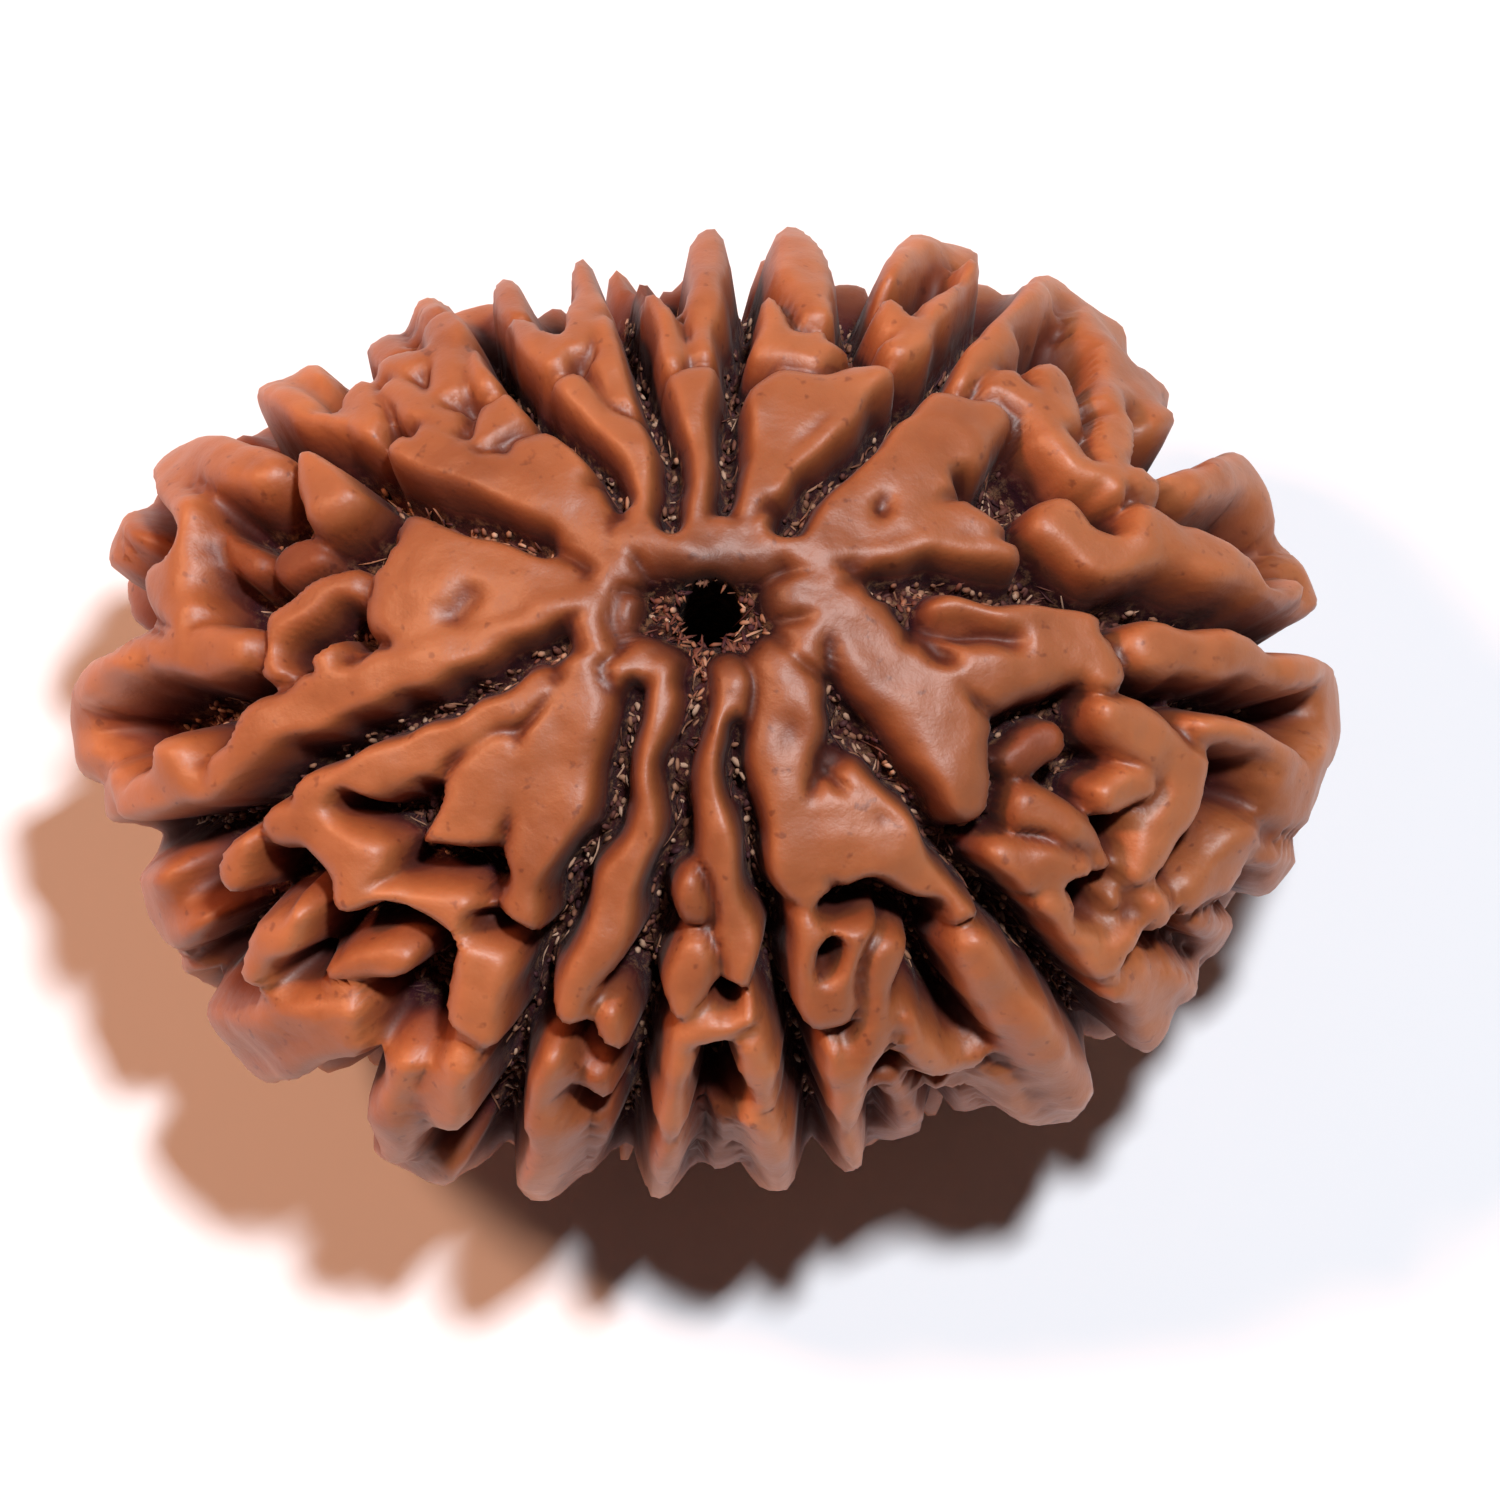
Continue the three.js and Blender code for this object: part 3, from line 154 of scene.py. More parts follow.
# %% Ridges round the mouth and on the left
COLLAR = [
    [1, [-1.9, 3.6, 0.5], [-1, 3.75, 0.6], [0, 3.75, 0.6], [1, 3.7, 0.6], [1.8, 3.4, 0.5]],
    [1, [1.8, 3.3, 0.5], [2.4, 2.9, 0.5], [2.3, 2, 0.5], [1.9, 1.2, 0.35]],
    [1, [-2, 3.3, 0.4], [-2.5, 2.7, 0.4], [-2.6, 1.9, 0.35], [-2.4, 1.2, 0.3]],
]
LEFT = [
    [1, [-3.2, 2.7, 0.5], [-4.6, 2.7, 1.1], [-5.9, 2.6, 1.5]],
    [1, [-4.5, 3.1, 0.6], [-6.2, 3.6, 0.6]],
    [1, [-6.3, 3.5, 0.5], [-6.6, 2.4, 0.55], [-6.3, 1.5, 0.6]],
    [1.05, [-2.9, 2.4, 0.35], [-4.5, 1.75, 0.4], [-6, 1.1, 0.45], [-7.2, 0.55, 0.5]],
    [0.9, [-2.2, 2.2, 0.3], [-2.4, 1.2, 0.3]],
    [1, [-7.2, 0.5, 0.5], [-8, 0.35, 0.7], [-9, -0.15, 0.65], [-9.9, -0.6, 0.6], [-10.3, -1.3, 0.5],
        [-11, -1.9, 0.5]],
    [1, [-8.1, 0.5, 0.5], [-8.4, 1.3, 0.3]],
    [1.1, [-11.5, -0.8, 0.45], [-11.4, -1.5, 0.7], [-11.9, -1.9, 0.6]],
    [1, [-12.4, -1.6, 0.4], [-12.5, -2.8, 0.4]],
    [1, [-12.9, -2.4, 0.3], [-12.8, -3.5, 0.3]],
    [0.9, [-7.9, 2.7, 0.2], [-8.7, 2.25, 0.3], [-9.3, 1.8, 0.3], [-9.5, 1, 0.3]],
    [1, [-12, 1.2, 0.5], [-11, 1.3, 0.6], [-10.2, 1.3, 0.45]],
    [1.15, [-12.4, 0.7, 0.35], [-12.9, 0, 0.4], [-13, -0.9, 0.55]],
    [1, [-11.1, 4.9, 0.6], [-10.3, 5.3, 0.75], [-9.6, 5, 0.5]],
    [1, [-11.1, 4.9, 0.5], [-11.1, 4, 0.35], [-11.3, 3.2, 0.45], [-11.5, 2.4, 0.7], [-11.3, 2, 0.6]],
    [1, [-11.6, 5.2, 0.4], [-12.2, 4.5, 0.5], [-12.2, 3.7, 0.5]],
    [1, [-12.4, 3.1, 0.25], [-12.4, 3.2, 0.25]],
    [1.15, [-8.45, 5.25, 0.38], [-8, 4.6, 0.65]],
    [0.7, [-9.5, 3.3, 0.25], [-8.9, 3.5, 0.3]],
    [0.75, [-11, 3.8, 0.25], [-10.2, 3.3, 0.25]],
]
BACK_LEFT = [
    [1, [-2.4, 3.1, 0.4], [-2.6, 3.9, 0.5], [-3.3, 4.6, 0.6], [-4.6, 5, 0.65], [-5.8, 5.3, 0.5],
        [-6.7, 5.6, 0.4]],
    [1, [-3.2, 5.1, 0.6], [-4, 5.4, 0.55]],
    [1, [-5.4, 5.6, 0.4], [-6.2, 5.9, 0.3]],
    [1, [-4.9, 5.9, 0.3], [-4.5, 6.5, 0.45], [-4.1, 6.9, 0.35]],
    [1, [-4.9, 7.2, 0.4], [-4.9, 7.9, 0.35]],
    [1, [-5.7, 7, 0.45], [-5.8, 8.3, 0.52]],
    [1, [-6.4, 7.6, 0.45], [-7, 7.6, 0.4]],
    [1, [-6.9, 7.1, 0.35], [-6.2, 6.6, 0.45], [-5.7, 6.2, 0.3]],
    [1, [-7.7, 7, 0.45], [-7.5, 6.5, 0.5], [-7.7, 6.1, 0.42]],
    [1, [-8.1, 6.3, 0.3], [-9.1, 6.3, 0.3]],
    [1, [-9.6, 6.5, 0.55], [-9.2, 6.7, 0.45], [-8.8, 6.6, 0.3]],
    [1, [-10.3, 6.1, 0.25], [-10.4, 6, 0.25]],
    [1, [-1.6, 3.7, 0.4], [-1.45, 4.6, 0.3], [-1.6, 5.5, 0.42], [-2.2, 6.05, 0.5],
        [-2.9, 6.85, 0.35]],
    [1, [-1.9, 6.8, 0.38], [-2.1, 7.5, 0.5], [-2.3, 8.3, 0.35]],
    [1, [-3.1, 7.8, 0.4], [-2.8, 8.6, 0.45], [-2.65, 9.3, 0.45]],
    [1, [-3.4, 7.6, 0.45], [-3.8, 7.9, 0.4], [-4.3, 8.35, 0.33], [-4.9, 8.5, 0.3]],
    [0.9, [-4.4, 8.9, 0.3], [-5, 10.4, 0.4]],
    [1, [-6, 8.6, 0.4], [-6.9, 9.9, 0.45]],
    [0.85, [-7, 7.9, 0.35], [-8.1, 9.2, 0.4]],
    [1, [-8.5, 7.2, 0.35], [-10.2, 8.4, 0.45]],
]

# %% Ridges at the back and on the right
BACK = [
    [1, [-0.35, 4, 0.4], [-0.4, 5, 0.28], [-0.5, 6, 0.42], [-0.4, 6.9, 0.6]],
    [1, [-1, 7.6, 0.4], [-1.3, 8.2, 0.4], [-1.6, 8.75, 0.4]],
    [0.6, [-1.75, 9.4, 0.25], [-1.9, 10.8, 0.35]],
    [1, [-0.25, 7.8, 0.4], [-0.1, 8.8, 0.42], [-0.05, 9.7, 0.38]],
    [1, [0.8, 4.2, 0.4], [1.1, 5.2, 0.45], [1.4, 6.2, 0.75], [2, 6.7, 0.8], [2.9, 6.8, 0.6],
        [3.5, 7, 0.35]],
    [1, [1.2, 4.7, 0.3], [2, 5.6, 0.3], [2.8, 6.2, 0.35], [3.3, 6.8, 0.35]],
    [1, [1, 8.8, 0.3], [1.2, 8, 0.45], [2, 7.85, 0.5], [2.5, 8, 0.3]],
    [1, [1.45, 9.9, 0.5], [1.9, 9.3, 0.6], [2.3, 8.6, 0.5]],
    [1, [3.6, 8.6, 0.35], [4.2, 8.1, 0.5]],
    [1, [5.2, 8.8, 0.3], [4.5, 8.2, 0.45], [4, 7.8, 0.3]],
    [1, [3.3, 9.2, 0.3], [4.2, 9.3, 0.35], [4.9, 9.7, 0.45], [5.4, 9.9, 0.4]],
]
BACK_RIGHT = [
    [1, [1.9, 3.2, 0.5], [2.8, 3.9, 0.7], [3.8, 4.6, 1], [4.6, 5.6, 0.9], [5.2, 6.3, 0.7],
        [5.9, 6.4, 0.35]],
    [1, [2.2, 3.4, 0.4], [3.5, 3.55, 0.35], [4.8, 3.55, 0.35], [6, 3.45, 0.3]],
    [1, [3.8, 4.2, 0.7], [5, 4, 0.5], [5.7, 3.9, 0.4]],
    [1, [5.5, 7.4, 0.5], [6, 8, 0.55], [6.6, 8.5, 0.4]],
    [1, [6.3, 7, 0.6], [7, 6.6, 0.55], [7.3, 5.9, 0.5], [7.7, 5.4, 0.4], [8.2, 5.2, 0.35]],
    [1, [7.3, 7.1, 0.5], [7.4, 6.5, 0.5]],
    [1, [6.9, 8.6, 0.35], [7.1, 9.2, 0.45], [7.3, 9.4, 0.4]],
    [1, [7.5, 8.9, 0.35], [7.5, 9, 0.35]],
    [1, [7.6, 8, 0.35], [8.1, 7.7, 0.35], [8.4, 7.2, 0.35], [8.6, 6.6, 0.4]],
    [1.1, [8.3, 7.7, 0.1], [8.8, 8.1, 0.12]],
    [1, [8.6, 6.9, 0.5], [9.2, 7, 0.6], [9.4, 6.5, 0.5]],
    [1, [8.7, 6.3, 0.4], [8.5, 5.6, 0.35], [8.6, 4.9, 0.3]],
    [1, [7.6, 4, 0.55], [8, 3.5, 0.5], [8.8, 3.4, 0.45], [9.5, 3.8, 0.65], [10.4, 3.5, 0.75],
        [11.3, 3, 0.6], [12, 2.6, 0.45]],
    [1, [10.4, 4.9, 0.4], [11.1, 5.1, 0.55], [11.6, 4.6, 0.5], [12.2, 4.2, 0.35],
        [13.2, 5, 0.45]],
    [0.9, [12.5, 3.2, 0.3], [13.6, 3.6, 0.35]],
    [1, [9.1, 4.9, 0.3], [9.8, 5, 0.35], [10.2, 5.1, 0.3]],
    [1, [12.3, 3.4, 0.35], [12.5, 2.6, 0.4], [12.6, 1.9, 0.35]],
]
RIGHT = [
    [1, [1.9, 2.5, 0.55], [2.6, 2.3, 0.65], [3.2, 1.6, 0.6], [3.8, 0.9, 0.7], [4.5, 0.3, 0.8],
        [5, -0.4, 0.75], [5.1, -1.3, 0.6], [5.2, -1.8, 0.4]],
    [1, [4.4, 1, 0.5], [5.5, 0.8, 0.5], [6.5, 1.1, 0.6], [7.5, 1.5, 0.7], [8.1, 1.4, 0.5],
        [8.3, 1, 0.4]],
    [1, [5.1, 2.1, 0.28], [6, 2, 0.35], [7.2, 1.95, 0.4], [8, 1.8, 0.4]],
    [1, [9.2, 1.4, 0.45], [10, 1.2, 0.5], [11, 1.3, 0.6], [11.9, 1.1, 0.5]],
    [1.05, [12.3, 1, 0.45], [12.9, 0.8, 0.4], [13.2, 0.2, 0.35], [12.8, -0.7, 0.4],
        [12.6, -1.1, 0.3]],
    [1, [10.6, -0.2, 0.3], [11.3, -0.4, 0.4], [12, -0.9, 0.4], [12.4, -1.7, 0.45],
        [12.2, -2.3, 0.45]],
    [1, [8.5, 0, 0.3], [9, -0.4, 0.45], [9.7, -1, 0.7], [10.2, -1.2, 0.75], [10, -2.2, 0.9],
        [9.6, -3, 0.7], [9.2, -3.6, 0.4]],
    [1, [8.5, -1.8, 0.3], [9.2, -1.7, 0.4]],
    [1, [11.6, -2.9, 0.5], [11, -3.6, 0.6], [10.4, -4.2, 0.5]],
    [0.7, [6.7, -1.1, 0.25], [7.3, -0.7, 0.25]],
    [0.95, [6.8, -2.2, 0.35], [7.4, -2.5, 0.4], [8, -3.2, 0.45], [8.3, -3.5, 0.3]],
    [1, [6.1, -3.2, 0.3], [6.6, -3.5, 0.5], [7.3, -3.4, 0.6], [7.9, -3.4, 0.4]],
    [1, [7.2, -4, 0.35], [7.6, -4.6, 0.3], [8, -5.2, 0.35], [8.5, -5.5, 0.4]],
    [1, [8.4, -5.3, 0.45], [8.9, -4.9, 0.4]],
    [1, [8.7, -6, 0.5], [9.3, -6.1, 0.65], [9.2, -6.9, 0.6]],
    [1, [9.5, -4.2, 0.35], [9.7, -4.6, 0.35]],
    [0.9, [8.7, -4.2, 0.3], [8.8, -4.2, 0.3]],
    [1, [8.3, -7.9, 0.3], [8.3, -8, 0.3]],
    [1, [11.9, -3.2, 0.35], [13.4, -4.4, 0.4]],
    [0.9, [10.8, -4.8, 0.35], [12.6, -6.2, 0.45]],
    [1, [9.9, -5.9, 0.4], [11.4, -7.6, 0.45]],
]

# %% Ridges at the front
FRONT_RIGHT = [
    [1, [1.5, 0.9, 0.45], [1.6, 0, 0.55], [1.5, -1, 0.5], [1.6, -2, 0.55], [1.8, -3, 0.7],
        [2.1, -3.8, 0.5]],
    [1, [2, -2.3, 0.5], [3, -2, 0.5], [3.5, -1.9, 0.4]],
    [1, [2.5, -2.8, 0.8], [3.5, -3, 0.8], [4.3, -3.4, 0.6], [5, -4, 0.4]],
    [1, [3.1, -1.5, 0.25], [3.9, -2.2, 0.3], [4.7, -3.2, 0.35], [5.2, -4.2, 0.35]],
    [0.6, [2.5, -1.3, 0.3], [2.6, -1.3, 0.3]],
    [1, [1.9, -4.5, 0.4], [1.8, -5.5, 0.4], [2, -6.4, 0.5], [2.6, -6.2, 0.5], [2.8, -5.3, 0.35],
        [3, -4.6, 0.3]],
    [1, [3.7, -5.3, 0.35], [3.6, -6.3, 0.32], [3.3, -7.3, 0.35], [2.8, -8.3, 0.45],
        [2.6, -9.3, 0.4], [2.9, -11, 0.45]],
    [0.8, [4, -8.3, 0.3], [4.4, -10.5, 0.45]],
    [0.8, [5.5, -8.9, 0.3], [6.2, -10, 0.45]],
    [1, [2.5, -7.4, 0.35], [2.6, -8.2, 0.45]],
    [1, [5.3, -5.1, 0.35], [5.9, -5.6, 0.6], [6.4, -6.5, 0.8], [7.1, -7.4, 0.7], [7.5, -8.4, 0.6]],
    [1, [6.3, -8.2, 0.35], [7, -8.9, 0.3]],
    [1, [4.2, -6.7, 0.3], [4.4, -7.3, 0.4], [5, -7.8, 0.45], [5.6, -7.9, 0.4]],
    [0.9, [5.05, -8.6, 0.15], [5.1, -8.6, 0.15]],
    [0.9, [5.6, -8.4, 0.2], [5.7, -8.4, 0.2]],
]
FRONT = [
    [1, [0.35, 0.6, 0.35], [0.15, -0.2, 0.2], [0.1, -1.2, 0.17], [0.15, -2.2, 0.25],
        [0.35, -3.2, 0.35], [0.55, -4.2, 0.42], [0.6, -5.2, 0.5], [0.75, -5.7, 0.3]],
    [0.9, [-0.4, -3.9, 0.35], [-0.4, -4.3, 0.35]],
    [1, [-0.4, -5.4, 0.4], [-0.7, -6.1, 0.35], [-0.7, -6.4, 0.25]],
    [1, [-0.9, -7.2, 0.3], [-0.3, -6.9, 0.3], [0.3, -6.6, 0.3], [0.9, -6.4, 0.25]],
    [1, [-0.8, -7.4, 0.35], [-0.9, -8.3, 0.4], [-1.1, -9, 0.33], [-1.15, -10.4, 0.4]],
    [1, [0.6, -7.2, 0.3], [1.1, -8, 0.38], [1.2, -8.4, 0.3]],
    [1, [0.9, -8.8, 0.35], [1.2, -9.4, 0.45], [1.4, -9.7, 0.35], [1.5, -10.8, 0.45]],
    [1, [1.15, -6.7, 0.15], [1.3, -7.1, 0.15]],
    [1, [-1, 0.8, 0.3], [-1.2, 0.2, 0.25], [-1.25, -0.6, 0.2], [-1.35, -1.5, 0.25],
        [-1.5, -2.4, 0.35], [-1.8, -3.2, 0.45], [-2, -4.1, 0.45], [-2.4, -4.8, 0.5],
        [-2.8, -5.5, 0.4], [-3.1, -6.3, 0.33]],
    [1, [-2, 0.8, 0.25], [-1.5, 0.95, 0.25], [-1, 0.85, 0.3]],
    [0.95, [-2.1, -6.6, 0.35], [-2, -7.1, 0.35]],
    [0.85, [-2.5, -7.9, 0.35], [-2.2, -8.2, 0.35]],
    [1, [-3.5, -7.4, 0.35], [-3.6, -8.1, 0.4], [-3.5, -8.8, 0.5], [-3.6, -9.4, 0.4],
        [-3.9, -11, 0.5]],
    [0.8, [-2.3, -9, 0.3], [-2.6, -11, 0.4]],
    [0.75, [0.2, -9.2, 0.25], [0.1, -11, 0.35]],
    [0.9, [-4.15, -10.1, 0.22], [-4.2, -10.1, 0.22]],
]
FRONT_LEFT = [
    [1, [-2.7, 0.9, 0.35], [-3, 0.2, 0.6], [-3.3, -0.8, 0.8], [-3.6, -2, 0.9], [-3.7, -2.9, 0.7],
        [-4, -3.7, 0.4], [-4, -4.2, 0.4]],
    [1, [-3.6, 0.5, 0.35], [-5, -0.15, 0.45], [-6.5, -0.9, 0.5], [-7.8, -1.4, 0.5],
        [-8.7, -1.9, 0.45]],
    [1, [-4.6, -1.2, 0.8], [-5.2, -2.2, 0.7], [-6, -2.4, 0.4]],
    [1, [-9.3, -2.4, 0.6], [-8.6, -2.3, 0.45], [-7.9, -2.9, 0.5], [-7.4, -3.3, 0.65],
        [-7.5, -3.8, 0.5]],
    [1, [-10.1, -2.9, 0.3], [-10.2, -3.5, 0.33]],
    [1, [-7, -4, 0.3], [-6.2, -3.95, 0.35], [-5.4, -4.3, 0.35], [-5, -4.9, 0.4], [-4.8, -5.7, 0.6],
        [-5, -6.4, 0.6]],
    [1, [-6.4, -7.2, 0.35], [-6.5, -8, 0.5], [-6.3, -8.4, 0.4]],
    [1, [-5.3, -7.3, 0.5], [-5.5, -8.2, 0.55]],
    [1, [-6.8, -8.9, 0.35], [-6.3, -9.6, 0.5], [-5.6, -10, 0.45], [-5.3, -9.4, 0.5]],
    [1.1, [-8.7, -4.3, 0.35], [-9.3, -4.8, 0.5], [-9.4, -5.3, 0.4]],
    [0.9, [-6.6, -5.2, 0.35], [-7.3, -5.3, 0.4], [-8, -5.7, 0.33]],
    [1, [-11.8, -3.5, 0.5], [-11.6, -4.2, 0.6], [-11.1, -4.6, 0.5]],
    [1, [-10, -6, 0.3], [-9.5, -6.3, 0.4], [-8.5, -6.2, 0.35], [-7.5, -6.2, 0.3]],
    [1, [-10.5, -6.8, 0.5], [-9.5, -6.9, 0.6], [-8.5, -6.9, 0.5], [-7.6, -6.6, 0.5]],
    [1, [-10.9, -5.4, 0.3], [-10.8, -6.4, 0.35]],
]
RIDGES = (
    COLLAR + LEFT + BACK_LEFT + BACK + BACK_RIGHT + RIGHT + FRONT_RIGHT
    + FRONT + FRONT_LEFT)

# %% [markdown]
# ## Small pits and slots
# Some crevices do not lie between two ridges but break through one: pits, slots and shallow
# dimples.  Their first number is how deep they go, 1 being the crevice floor.

# %% Pits, slots and dimples
HOLES = [
    [1, [-12.2, 0.1, 0.4], [-10.6, -0.3, 0.5]],
    [0.9, [-11.6, 4.4, 0.12], [-11.5, 3.4, 0.12]],
    [0.18, [-5.5, 2.1, 0.3], [-5.3, 2.4, 0.3]],
    [0.9, [-9, 1.2, 0.3], [-8, 2, 0.3]],
    [0.8, [-7.3, 3.3, 0.25], [-7.3, 3.4, 0.25]],
    [1, [2.8, 8.1, 0.35], [2.9, 8.4, 0.3], [3.3, 10.5, 0.35]],
    [0.8, [-3.55, 8.3, 0.15], [-4, 10.5, 0.3]],
    [1, [4.5, 8.95, 0.25], [4.6, 8.95, 0.25]],
    [0.9, [5.4, 5, 0.3], [6.4, 4.4, 0.3]],
    [0.25, [3.6, 4.3, 0.14], [3.6, 4.4, 0.14]],
    [0.9, [6.7, 8, 0.2], [6.8, 8, 0.2]],
    [0.85, [9.3, 5.3, 0.2], [11.5, 6.9, 0.35]],
    [0.9, [9.85, 4.7, 0.14], [9.9, 4.7, 0.14]],
    [0.8, [11.5, 3.6, 0.2], [11.8, 3, 0.2]],
    [0.9, [8.5, 4.3, 0.3], [8.6, 4.3, 0.3]],
    [0.45, [3.6, 2.7, 0.25], [4.1, 2.1, 0.25], [4.6, 1.5, 0.25], [4.9, 1.15, 0.25]],
    [0.3, [4.8, 1.8, 0.3], [6.3, 1.6, 0.3]],
    [0.9, [10, 0.4, 0.25], [11.8, 0.1, 0.25]],
    [0.9, [11.7, -1.3, 0.35], [11.8, -1.3, 0.3]],
    [0.9, [8.1, -4.4, 0.3], [8.1, -4.5, 0.3]],
    [0.6, [7.8, -3.9, 0.12], [8.5, -3.8, 0.12]],
    [0.12, [1.6, -0.5, 0.4], [1.6, -0.6, 0.4]],
    [1, [2.6, -4.3, 0.3], [3.5, -4.1, 0.35], [4.5, -4.4, 0.35], [4.6, -5.5, 0.35],
        [4.4, -6.1, 0.35], [5.4, -7.2, 0.3]],
    [0.8, [2.4, -5.2, 0.15], [2.4, -5.5, 0.15]],
    [0.9, [0.4, -6.15, 0.3], [0.4, -6.2, 0.25]],
    [1, [0, -7.5, 0.3], [0.1, -8.6, 0.35]],
    [0.9, [-2.4, -7.4, 0.25], [-2.5, -7.4, 0.2]],
    [0.9, [-6.2, -1.7, 0.25], [-6.5, -2.5, 0.25], [-7.9, -2.1, 0.25]],
    [0.9, [-6.4, -3.2, 0.35], [-5, -3.3, 0.35], [-4.7, -3.7, 0.3]],
    [1, [-9.3, -3.6, 0.5], [-9.2, -3.7, 0.45]],
    [1, [-8.2, -4.6, 0.3], [-7, -4.4, 0.3], [-5.8, -5, 0.3]],
    [1, [-8.6, -5.5, 0.3], [-8.5, -5.5, 0.3]],
    [0.9, [-10.4, -5.8, 0.25], [-10.4, -5.9, 0.25]],
    [0.8, [-5, -4.6, 0.2], [-4.3, -4.85, 0.2]],
    [0.9, [-7.5, -7.4, 0.15], [-9.2, -9, 0.35]],
    [0.7, [-9.3, -6.9, 0.12], [-9.3, -7, 0.12]],
]

# %% [markdown]
# ## From a stroke to a height
# A stroke on the drawing plane is laid onto the egg as a chain of points.  The height at a
# place will then depend only on how far it lies inside a stroke.

# %% Lay strokes on the egg
HALF = np.array([HALF_LENGTH, HALF_WIDTH, HALF_HEIGHT])
SINE = math.sin(SIGHT_ANGLE * math.pi / 180)
COSINE = math.cos(SIGHT_ANGLE * math.pi / 180)
SIGHT = np.array([0.0, -COSINE / HALF_WIDTH, SINE / HALF_HEIGHT])
SIGHT = SIGHT / np.linalg.norm(SIGHT)


def smooth(low, high, value):
    t = np.clip((value - low) / (high - low), 0.0, 1.0)
    return t * t * (3.0 - 2.0 * t)


def spread_at(points):
    return np.hypot(points[:, 0] / HALF_LENGTH, points[:, 1] / HALF_WIDTH)


def toward_rim(points, change):
    return smooth(*change, spread_at(points))


def on_egg(u, v):
    half_seen = math.hypot(HALF_WIDTH * SINE, HALF_HEIGHT * COSINE)
    limit = math.sin(math.radians(DRAWN_LIMIT))
    keep = min(1.0, limit / math.hypot(u / HALF_LENGTH, v / half_seen))
    u, v = u * keep, v * keep
    wide, high = HALF_WIDTH ** 2, HALF_HEIGHT ** 2
    a = COSINE ** 2 / wide + SINE ** 2 / high
    b = 2 * v * SINE * COSINE * (1 / high - 1 / wide)
    c = (u / HALF_LENGTH) ** 2 - 1 + v * v * (SINE ** 2 / wide + COSINE ** 2 / high)
    toward = (math.sqrt(b * b - 4 * a * c) - b) / (2 * a)
    return [u, v * SINE - toward * COSINE, v * COSINE + toward * SINE]


def stroke(height, points, foot, rim_foot):
    chain = []
    for index in range(1, len(points)):
        start, end = np.array(points[index - 1]), np.array(points[index])
        steps = max(1, math.ceil(math.hypot(*(end - start)[:2]) / STROKE_STEP))
        for step in range(0 if index == 1 else 1, steps + 1):
            u, v, half = start + (end - start) * step / steps
            chain.append(on_egg(u, v) + [half])
    chain = np.array(chain)
    chain[:, 3] += foot + (rim_foot - foot) * toward_rim(chain, FOOT_CHANGE)
    middle = chain[len(chain) // 2, :3]
    reach = np.linalg.norm(chain[:, :3] - middle, axis=1).max() + chain[:, 3].max()
    return height, chain, middle, reach


ridges = [stroke(ridge[0], ridge[1:], FOOT, FOOT_AT_RIM) for ridge in RIDGES]
holes = [stroke(hole[0], hole[1:], LIP, LIP) for hole in HOLES]
grooves = []
for line in GROOVES:
    u, v, half = line[-1]
    grooves.append(stroke(1.0, line + [[u * GROOVE_REACH, v * GROOVE_REACH, half]], LIP, LIP))
print(len(ridges), "ridges,", len(holes), "pits,", len(grooves), "grooves")


# %% [markdown]
# ## How high a place stands
# The height climbs from the edge of a stroke along a rounded curve, so a narrow stroke gives a
# round worm and a wide one a flat plate with round shoulders.  The curve is blunter where the
# crevice is deep.  Where two strokes come out almost equally high, a crease stays between them.

# %% Height of many points at once
def inside_share(item, points, shoulder):
    _, chain, middle, reach = item
    result = np.zeros(len(points))
    near = np.flatnonzero(np.linalg.norm(points - middle, axis=1) < reach)
    spot = points[near]
    best = np.zeros(len(near))
    for start, end in zip(chain[:-1], chain[1:]):
        along = end[:3] - start[:3]
        away = spot - start[:3]
        t = np.clip(away @ along / max(along @ along, 1e-9), 0.0, 1.0)
        half = start[3] + (end[3] - start[3]) * t
        inside = half - np.linalg.norm(away - t[:, None] * along, axis=1)
        best = np.maximum(best, np.clip(inside / np.minimum(half, shoulder[near]), 0.0, 1.0))
    result[near] = best
    return result


def crevice_depth(points):
    rim = toward_rim(points, CREVICE_CHANGE)
    return CREVICE_AT_MOUTH + (CREVICE_AT_RIM - CREVICE_AT_MOUTH) * rim


def raised(points):
    outer = toward_rim(points, SHOULDER_CHANGE)
    shoulder = SHOULDER + (SHOULDER_AT_RIM - SHOULDER) * outer
    depth = crevice_depth(points)
    best = np.zeros(len(points))
    second = np.zeros(len(points))
    for item in ridges:
        outside = 1.0 - inside_share(item, points, shoulder)
        width = np.minimum(item[1][:, 3].max(), shoulder)
        power = 2.0 * np.maximum(depth / width, 1.0) ** BLUNTNESS
        here = item[0] * (1.0 - outside ** power) ** (1.0 / power)
        second = np.maximum(second, np.minimum(best, here))
        best = np.maximum(best, here)
    close = np.clip(1.0 - (best - second) / CREASE_WIDTH, 0.0, 1.0) ** 2
    return np.clip(best - CREASE * close * smooth(0.0, 0.1, 1.0 - best), 0.0, None)


def deepest(items, points):
    shoulder = np.full(len(points), SHOULDER)
    cuts = [item[0] * smooth(0.0, 1.0, inside_share(item, points, shoulder))
            for item in items]
    return np.max(cuts, axis=0)


# %% [markdown]
# ## Over the rim and round to the far side
# The photograph shows one side.  Seen at the edge its pattern is squeezed flat, so it is
# drawn out over the rim, and the far side wears the same pattern turned over about the long
# way.  The sectors are stretched a little so that every groove runs on into another one, as
# the eleven grooves of a real stone do from mouth to mouth.  Two gaps in the outline are cut
# through the rim as notches.  Last, the height is the mean over twelve places close by, which
# softens every edge.

# %% Look a place up on the drawn pattern
def angle_round(points):
    return np.degrees(np.arctan2(points[:, 1] / HALF_WIDTH, points[:, 0] / HALF_LENGTH))


